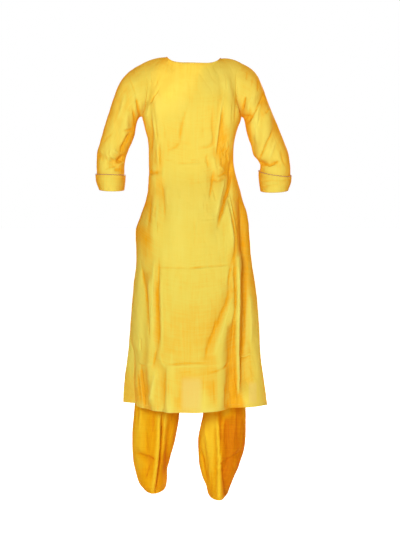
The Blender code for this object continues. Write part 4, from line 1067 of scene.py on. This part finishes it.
def leg_grid(table, hand):
    """One leg and its half of the seat: columns from the inside front, by the outside, to the back."""
    part = np.linspace(-1, 1, LEG_COLUMNS + 1)
    rows = []
    for z in np.linspace(WAIST_LOW, CROTCH, SEAT_ROWS + 1)[:-1]:
        width, mid_y, half_depth, spread = (SEAT.read(name, z) for name in SEAT.names[1:])
        turn = part * np.pi * spread
        half = width / (1 - np.cos(turn[-1]))
        x, y = oval(turn, -half * np.cos(turn[-1]), half, mid_y, half_depth)
        rows.append(np.stack([x, y, np.full_like(x, z)], axis=-1))
    for z in np.linspace(CROTCH, table.values[0, 0], LEG_ROWS + 1):
        sizes = (table.read(name, z) for name in table.names[1:])
        outer, inner, mid_y, half_depth, pinch, hem_rise = sizes
        turn = part * np.pi
        x, y = oval(turn, (outer + inner) / 2, (outer - inner) / 2, mid_y, half_depth, pinch)
        rows.append(np.stack([x, y, z + hem_rise * np.abs(np.cos(turn)) ** HEM_RISE_POWER], axis=-1))
    return np.array(rows) * [hand, 1, 1]


def leg(table, hand, folds, creases):
    sheet = Sheet(leg_grid(table, hand), -hand, SEAT_ROWS)
    weight = ease((CROTCH - sheet.points[..., 2]) / LEG_FADE)
    folded = sheet.folded(folds, 1) + sheet.folded(FRONT_OF_LEG_FOLDS, -1, hand)
    sheet.lift(folded * weight, FOLD_SHADE)
    sheet.crease(creases, FRONT_OF_LEG_CREASES, weight, hand)
    sheet.wave(weight)
    sheet.shade()
    return sheet


def belt():
    turn = np.linspace(-np.pi, np.pi, COLUMNS + 1)
    width, mid_y, half_depth = (SEAT.read(name, WAIST_LOW) for name in ("width", "mid_y", "half_depth"))
    x, y = oval(turn, 0, width, mid_y, half_depth)
    levels = np.linspace(WAIST_TOP, WAIST_LOW, BELT_ROWS + 1)
    sheet = Sheet(np.array([np.stack([x, y, np.full_like(x, z)], axis=-1) for z in levels]), -1, 0)
    row = np.linspace(0, 1, BELT_ROWS + 1)[:, None]
    gathers = BELT_GATHER * np.sin(BELT_GATHERS * turn)
    sheet.lift(gathers * ease(row / BELT_FADE) * ease((1 - row) / BELT_FADE))
    return sheet


def turned_under(sheet, edge, count, depth):
    """The strip of cloth folded in at an edge: its points, places and painted shading, from the edge
    inwards.
    """
    across = edge in ("first", "last")
    last = edge in ("low", "last")

    def rows(values):
        values = values.swapaxes(0, 1) if across else values
        return values[-count:] if last else values[:count][::-1]

    def back(strip):
        strip = strip if last else strip[::-1]
        return strip.swapaxes(0, 1) if across else strip

    points, normal = rows(sheet.points), rows(sheet.normals())
    beyond = unit(points[-1:] - points[-2:-1])
    roll = points[-1:] + HEM_ROLL * depth * (beyond - normal[-1:])
    strips = [np.concatenate([points[-1:], roll, (points - depth * normal)[::-1]])]
    for values in (rows(sheet.grain), rows(sheet.painted_shading)):
        strips.append(np.concatenate([values[-1:], values[-1:], values[::-1]]))
    return [back(strip) for strip in strips]


def body_hems(sheet):
    """The turned hem, slit edges and neckline of a body panel."""
    hems = [turned_under(sheet, "low", HEM_ROWS, HEM_DEPTH)]
    for edge, count, part in (
        ("first", SLIT_COLUMNS, (BELOW_SLIT, EVERY)),
        ("last", SLIT_COLUMNS, (BELOW_SLIT, EVERY)),
        ("top", NECK_ROWS, (EVERY, NECKLINE)),
    ):
        hems.append([values[part] for values in turned_under(sheet, edge, count, SLIT_DEPTH)])
    return hems


def quads(shape, start, out):
    """The faces of a grid of points, as point numbers from start on."""
    index = start + np.arange(shape[0] * shape[1]).reshape(shape)
    corners = [index[:-1, :-1], index[:-1, 1:], index[1:, 1:], index[1:, :-1]]
    faces = np.stack(corners, axis=-1).reshape(-1, 4)
    return faces[:, ::-1] if out < 0 else faces


def cloth_object(name, sheet, hems, material):
    """One mesh of the sheet and its hems, joined where their points meet."""
    patches = [(sheet.points, sheet.grain, sheet.painted_shading), *hems]
    starts = np.cumsum([0] + [patch[0][..., 0].size for patch in patches])
    faces = np.concatenate([quads(p[0].shape[:2], s, sheet.out) for p, s in zip(patches, starts)])
    points = np.concatenate([patch[0].reshape(-1, 3) for patch in patches])
    grain = np.concatenate([patch[1].reshape(-1, 2) for patch in patches])
    painted_shading = np.concatenate([patch[2].ravel() for patch in patches])
    places = np.round(points, JOINED_TO)
    _, first, joined = np.unique(places, axis=0, return_index=True, return_inverse=True)
    points = points[first]
    mesh = bpy.data.meshes.new(name)
    mesh.from_pydata(points.tolist(), [], joined.reshape(-1)[faces].tolist())
    mesh.uv_layers.new(name="grain").uv.foreach_set("vector", grain[faces.ravel()].ravel())
    # Painted light where light would show through the back, with nothing behind the cloth.
    painted_backlight = soft_places(points, PAINTED_BACKLIGHT, BACKLIGHT_EDGE) * (points[..., 1] > 0)
    # Painted shading: troughs, the wearer's sides and the soft places deeper, ridges paler.
    for label, values in (("painted_shading", np.clip(painted_shading[first] / SHADE_DEPTH, -1, 1)), ("painted_backlight", painted_backlight)):
        mesh.attributes.new(label, "FLOAT", "POINT").data.foreach_set("value", values)
    mesh.shade_smooth()
    return add_object(name, mesh, material)


def add_object(name, data, material):
    data.materials.append(material)
    piece = bpy.data.objects.new(name, data)
    bpy.context.scene.collection.objects.link(piece)
    return piece


def stitch_points(line, normal):
    """Six points for each stitch: a low prism, pointed upwards, along the line."""
    run = run_along(line)
    starts = np.arange(0.5 * (STITCH_PITCH - STITCH_LENGTH), run[-1] - STITCH_LENGTH, STITCH_PITCH)

    def at(values, where):
        return np.stack([np.interp(where, run, values[:, i]) for i in range(3)], axis=1)

    start, end, up = at(line, starts), at(line, starts + STITCH_LENGTH), unit(at(normal, starts))
    side = unit(np.cross(end - start, up)) * STITCH_WIDTH
    top, base = up * STITCH_HEIGHT, up * -STITCH_SUNK
    corners = [place + corner for place in (start, end) for corner in (base - side, top, base + side)]
    return np.stack(corners, axis=1)


def add_stitches(name, sheet, places, material):
    """The stitches along these rows or columns of the sheet, as one mesh."""
    normal = sheet.normals()
    corners = np.concatenate([stitch_points(sheet.points[place], normal[place]) for place in places])
    sides = ((0, 1, 4, 3), (1, 2, 5, 4), (2, 0, 3, 5), (0, 2, 1), (3, 4, 5))
    faces = [[6 * stitch + i for i in side] for stitch in range(len(corners)) for side in sides]
    mesh = bpy.data.meshes.new(name)
    mesh.from_pydata(corners.reshape(-1, 3).tolist(), [], faces)
    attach(add_object(name, mesh, material), "root")


def add_cord(name, path, material):
    """A closed cord along the path, ribbed like twisted strands."""
    closed = np.concatenate([path[-1:], path, path[:1]])
    along = unit(closed[2:] - closed[:-2])
    outward = unit(path - path.mean(axis=0))
    outward = unit(outward - along * np.sum(outward * along, axis=-1, keepdims=True))
    side = np.cross(along, outward)
    run = run_along(closed[1:])
    angle = np.linspace(0, 2 * np.pi, CORD_SIDES + 1)
    twist = 2 * np.pi * np.round(run[-1] / CORD_LAY) * run[:, None] / run[-1]
    strand = np.cos(CORD_STRANDS * angle[None, :] + twist)
    reach = PIPING_RADIUS * (1 - CORD_RIB + CORD_RIB * strand)[..., None]
    outward, side = (np.concatenate([v, v[:1]])[:, None, :] for v in (outward, side))
    ring = np.cos(angle)[None, :, None] * outward + np.sin(angle)[None, :, None] * side
    sheet = Sheet(closed[1:, None, :] + reach * ring, 1)
    sheet.grain = np.stack(np.broadcast_arrays(run[:, None], angle[None, :] / (2 * np.pi)), axis=-1)
    return cloth_object(name, sheet, [], material)


def add_node(tree, kind, inputs=(), **settings):
    """A shader node with its settings, and with its inputs set or linked."""
    node = tree.nodes.new("ShaderNode" + kind)
    for key, value in settings.items():
        setattr(node, key, value)
    for key, value in dict(inputs).items():
        if isinstance(value, bpy.types.NodeSocket):
            tree.links.new(value, node.inputs[key])
        else:
            node.inputs[key].default_value = value
    return node


def new_material(name):
    material = bpy.data.materials.new(name)
    material.use_nodes = True
    tree = material.node_tree
    tree.nodes.clear()
    return material, tree


def shown_on(tree, face):
    add_node(tree, "OutputMaterial", {"Surface": face.outputs[0]})


def on_cloth(tree, placing):
    """Places on the flat cloth, scaled, moved or turned."""
    places = add_node(tree, "UVMap", uv_map="grain").outputs["UV"]
    return add_node(tree, "Mapping", {"Vector": places, **placing}).outputs["Vector"]


def threads(tree, scale, seed):
    """Uneven threads that run one way through the cloth."""
    places = on_cloth(tree, {"Scale": scale, "Location": (seed, seed, 0)})
    return add_node(tree, "TexNoise", {"Vector": places, "Scale": 1.0, "Detail": 2.0}).outputs["Fac"]


def wrinkles(tree):
    """Fine sharp creases, mostly upright, in patches over the flat cloth."""
    places = on_cloth(tree, {"Scale": WRINKLE_SCALE})
    inputs = {"Vector": places, "Scale": 1.0, "Detail": 2.0, "Distortion": 0.6}
    return add_node(tree, "TexNoise", inputs, noise_type="RIDGED_MULTIFRACTAL").outputs["Fac"]


def multiply_add(tree, value, factor, offset):
    return add_node(tree, "Math", {0: value, 1: factor, 2: offset}, operation="MULTIPLY_ADD").outputs[0]


def attribute(tree, label):
    return add_node(tree, "Attribute", attribute_name=label).outputs["Fac"]


def cloth_colour(tree, colours, shares):
    """The colours of troughs (painted shade), face and ridges (painted light), mixed by the painted
    shading and by noises with these shares, and the places of painted backlight.
    """
    # Noises average a half, and cloth with no painted light or shade is to come to a half.
    balance = 0.5 - 0.5 * (THREAD_SHARE + THREAD_SHARE + TONE_SHARE) - WRINKLE_MEAN * WRINKLE_SHARE
    mixed = multiply_add(tree, attribute(tree, "painted_shading"), RAISED_SHARE, balance)
    for value, share in shares:
        mixed = multiply_add(tree, value, share, mixed)
    ramp = add_node(tree, "ValToRGB", {"Fac": mixed})
    ramp.color_ramp.elements.new(0.5)
    for element, colour in zip(ramp.color_ramp.elements, colours):
        element.color = (*colour, 1)
    # Painted light: pale where light would show through the back.
    painted_backlight = {0: attribute(tree, "painted_backlight"), 1: BACKLIGHT_SHARE}
    share = add_node(tree, "Math", painted_backlight, operation="MULTIPLY").outputs[0]
    mix = {"Fac": share, "Color1": ramp.outputs["Color"], "Color2": (*BACKLIGHT_COLOUR, 1)}
    return add_node(tree, "MixRGB", mix).outputs["Color"]


def cloth_material(name, colours, glow):
    """Cotton: colours for troughs (painted shade), face and ridges (painted light), and the colour of the
    light that comes through.
    """
    material, tree = new_material(name)
    weft, warp = threads(tree, WEFT_SCALE, 0.0), threads(tree, WARP_SCALE, WARP_SEED)
    here = add_node(tree, "TexCoord").outputs["Object"]
    tone = add_node(tree, "TexNoise", {"Vector": here, "Scale": TONE_SCALE, "Detail": 3.0}).outputs["Fac"]
    creased = wrinkles(tree)
    # The wrinkles' share paints shade in their troughs and light on their ridges; threads and tone are
    # the cloth's own colour.
    shares = ((creased, WRINKLE_SHARE), (weft, THREAD_SHARE), (warp, THREAD_SHARE), (tone, TONE_SHARE))
    woven = multiply_add(tree, weft, 0.5, multiply_add(tree, warp, 0.5, 0.0))
    height = multiply_add(tree, creased, WRINKLE_HEIGHT / THREAD_HEIGHT, woven)
    bump = add_node(tree, "Bump", {"Height": height, "Strength": 1.0, "Distance": THREAD_HEIGHT})
    rough = add_node(tree, "MapRange", {"Value": tone, "To Min": 0.66, "To Max": 0.82})
    looks = {
        "Base Color": cloth_colour(tree, colours, shares), "Roughness": rough.outputs["Result"],
        "Normal": bump.outputs["Normal"], "Specular IOR Level": 0.1,
        "Sheen Weight": 0.4, "Sheen Roughness": 0.4, "Sheen Tint": (1.0, 0.38, 0.01, 1),
    }
    face = add_node(tree, "BsdfPrincipled", looks)
    through = add_node(tree, "BsdfTranslucent", {"Color": (*glow, 1)})
    both = {0: GLOW_SHARE, 1: face.outputs[0], 2: through.outputs[0]}
    shown_on(tree, add_node(tree, "MixShader", both))
    return material


def plain_material(name, colour):
    material, tree = new_material(name)
    shown_on(tree, add_node(tree, "BsdfPrincipled", {"Base Color": (*colour, 1), "Roughness": 0.7}))
    return material


def cord_material(name):
    """Twisted cord: slanting strands of brown and of yellow."""
    material, tree = new_material(name)
    places = on_cloth(tree, {"Scale": (CORD_TURNS, 1, 1), "Rotation": (0, 0, CORD_SLANT)})
    wave = {"Vector": places, "Scale": 1.0, "Distortion": 0.6}
    strands = add_node(tree, "TexWave", wave, bands_direction="X")
    ramp = add_node(tree, "ValToRGB", {"Fac": strands.outputs["Fac"]})
    for element, (position, colour) in zip(ramp.color_ramp.elements, PIPING_STRANDS):
        element.position, element.color = position, (*colour, 1)
    looks = {"Base Color": ramp.outputs["Color"], "Roughness": 0.6}
    shown_on(tree, add_node(tree, "BsdfPrincipled", looks))
    return material


def stand_for(piece, node):
    """Shows the piece in place of its node of the frame."""
    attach(piece, "root")
    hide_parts(node)


def dress(name, node, sheet, hems, cloth):
    """Adds a piece of cloth that stands for its node."""
    piece = cloth_object(name, sheet, hems, cloth)
    stand_for(piece, node)


def build_kameez(cloth, thread, cord):
    back = body_panel(1, BACK_FOLDS, (BACK_CREASES, ()))
    front = body_panel(-1, FRONT_FOLDS, ((), FRONT_CREASES))
    for hand, column, table, out, folds, creases, cuff_creases in (
        ("left", COLUMNS, LEFT_SLEEVE, -1, LEFT_SLEEVE_FOLDS, LEFT_SLEEVE_CREASES, ()),
        ("right", 0, RIGHT_SLEEVE, 1, RIGHT_SLEEVE_FOLDS, RIGHT_SLEEVE_CREASES, RIGHT_CUFF_CREASES),
    ):
        arm = sleeve(table, armhole(back.points, front.points, column), out, folds, creases)
        turned_up = cuff(table, out, cuff_creases, arm.points[-1])
        dress("sleeve_cloth_" + hand, "sleeve_" + hand, arm, [], cloth)
        dress("cuff_cloth_" + hand, "cuff_" + hand, turned_up, [], cloth)
        add_stitches("cuff_stitches_" + hand, turned_up, (STITCH_GAP, CUFF_RINGS - STITCH_GAP), thread)
        stand_for(add_cord("piping_cord_" + hand, piping_path(table), cord), "piping_" + hand)
    for name, sheet, cut in (("back", back, BACK_CUT), ("front", front, FRONT_CUT)):
        dress("kameez_cloth_" + name, "kameez_" + name, sheet, body_hems(sheet), cloth)
        add_stitches("kameez_stitches_" + name, sheet, BODY_STITCHES, thread)


def build_salwar(cloth, thread):
    for name, hand, table, folds, creases in (
        ("left", 1, LEFT_LEG, LEFT_LEG_FOLDS, LEFT_LEG_CREASES),
        ("right", -1, RIGHT_LEG, RIGHT_LEG_FOLDS, RIGHT_LEG_CREASES),
    ):
        sheet = leg(table, hand, folds, creases)
        hem = turned_under(sheet, "low", LEG_HEM_ROWS, HEM_DEPTH)
        dress("salwar_cloth_" + name, "salwar_leg_" + name, sheet, [hem], cloth)
        add_stitches("salwar_stitches_" + name, sheet, (-LEG_HEM_ROWS, STITCH_GAP - LEG_HEM_ROWS), thread)
    dress("salwar_cloth_belt", "salwar_belt", belt(), [], cloth)


def add_stage():
    mesh = bpy.data.meshes.new("floor")
    corners = [(x * FLOOR_HALF, y * FLOOR_HALF, FLOOR) for x, y in ((-1, -1), (1, -1), (1, 1), (-1, 1))]
    mesh.from_pydata(corners, [], [(0, 1, 2, 3)])
    material, tree = new_material("floor")
    looks = {
        "Base Color": (*FLOOR_WHITE, 1), "Roughness": 0.9, "Specular IOR Level": 0.1,
        "Emission Color": (*WHITE, 1), "Emission Strength": camera_rays(tree),
    }
    shown_on(tree, add_node(tree, "BsdfPrincipled", looks))
    add_object("floor", mesh, material)


def camera_rays(tree):
    return add_node(tree, "LightPath").outputs["Is Camera Ray"]


def add_world():
    """A white backdrop, and a weaker warm light from all round."""
    world = bpy.data.worlds.new("studio")
    world.use_nodes = True
    tree = world.node_tree
    tree.nodes.clear()
    mix = {"Fac": camera_rays(tree), "Color1": (*AMBIENT, 1), "Color2": (*WHITE, 1)}
    colour = add_node(tree, "MixRGB", mix).outputs["Color"]
    sky = add_node(tree, "Background", {"Color": colour, "Strength": 1.0})
    add_node(tree, "OutputWorld", {"Surface": sky.outputs[0]})
    bpy.context.scene.world = world


def aim(thing, place, to):
    """Puts a lamp or a camera in the scene, turned towards a point."""
    thing.location = place
    thing.rotation_euler = (to - place).to_track_quat("-Z", "Y").to_euler()
    bpy.context.scene.collection.objects.link(thing)


def add_light(name, place, to, size, power, colour):
    light = bpy.data.lights.new(name, "AREA")
    light.shape, light.size, light.energy, light.color = "DISK", size, power, colour
    aim(bpy.data.objects.new(name, light), Vector(place), Vector(to))


def add_camera():
    lens = bpy.data.cameras.new("camera")
    lens.sensor_width, lens.lens = SENSOR, SENSOR * FOCAL_SHARE
    camera = bpy.data.objects.new("camera", lens)
    aim(camera, CAMERA_AT, CAMERA_TO)
    bpy.context.scene.camera = camera


kameez_cloth = cloth_material("kameez_cotton", KAMEEZ_COLOURS, KAMEEZ_GLOW)
salwar_cloth = cloth_material("salwar_cotton", SALWAR_COLOURS, SALWAR_GLOW)
kameez_thread = plain_material("kameez_thread", KAMEEZ_THREAD)
build_kameez(kameez_cloth, kameez_thread, cord_material("piping_strands"))
build_salwar(salwar_cloth, plain_material("salwar_thread", SALWAR_THREAD))
add_stage()
add_world()
for lamp in LAMPS:
    add_light(*lamp)
add_camera()
bpy.context.scene.view_settings.view_transform = "Standard"
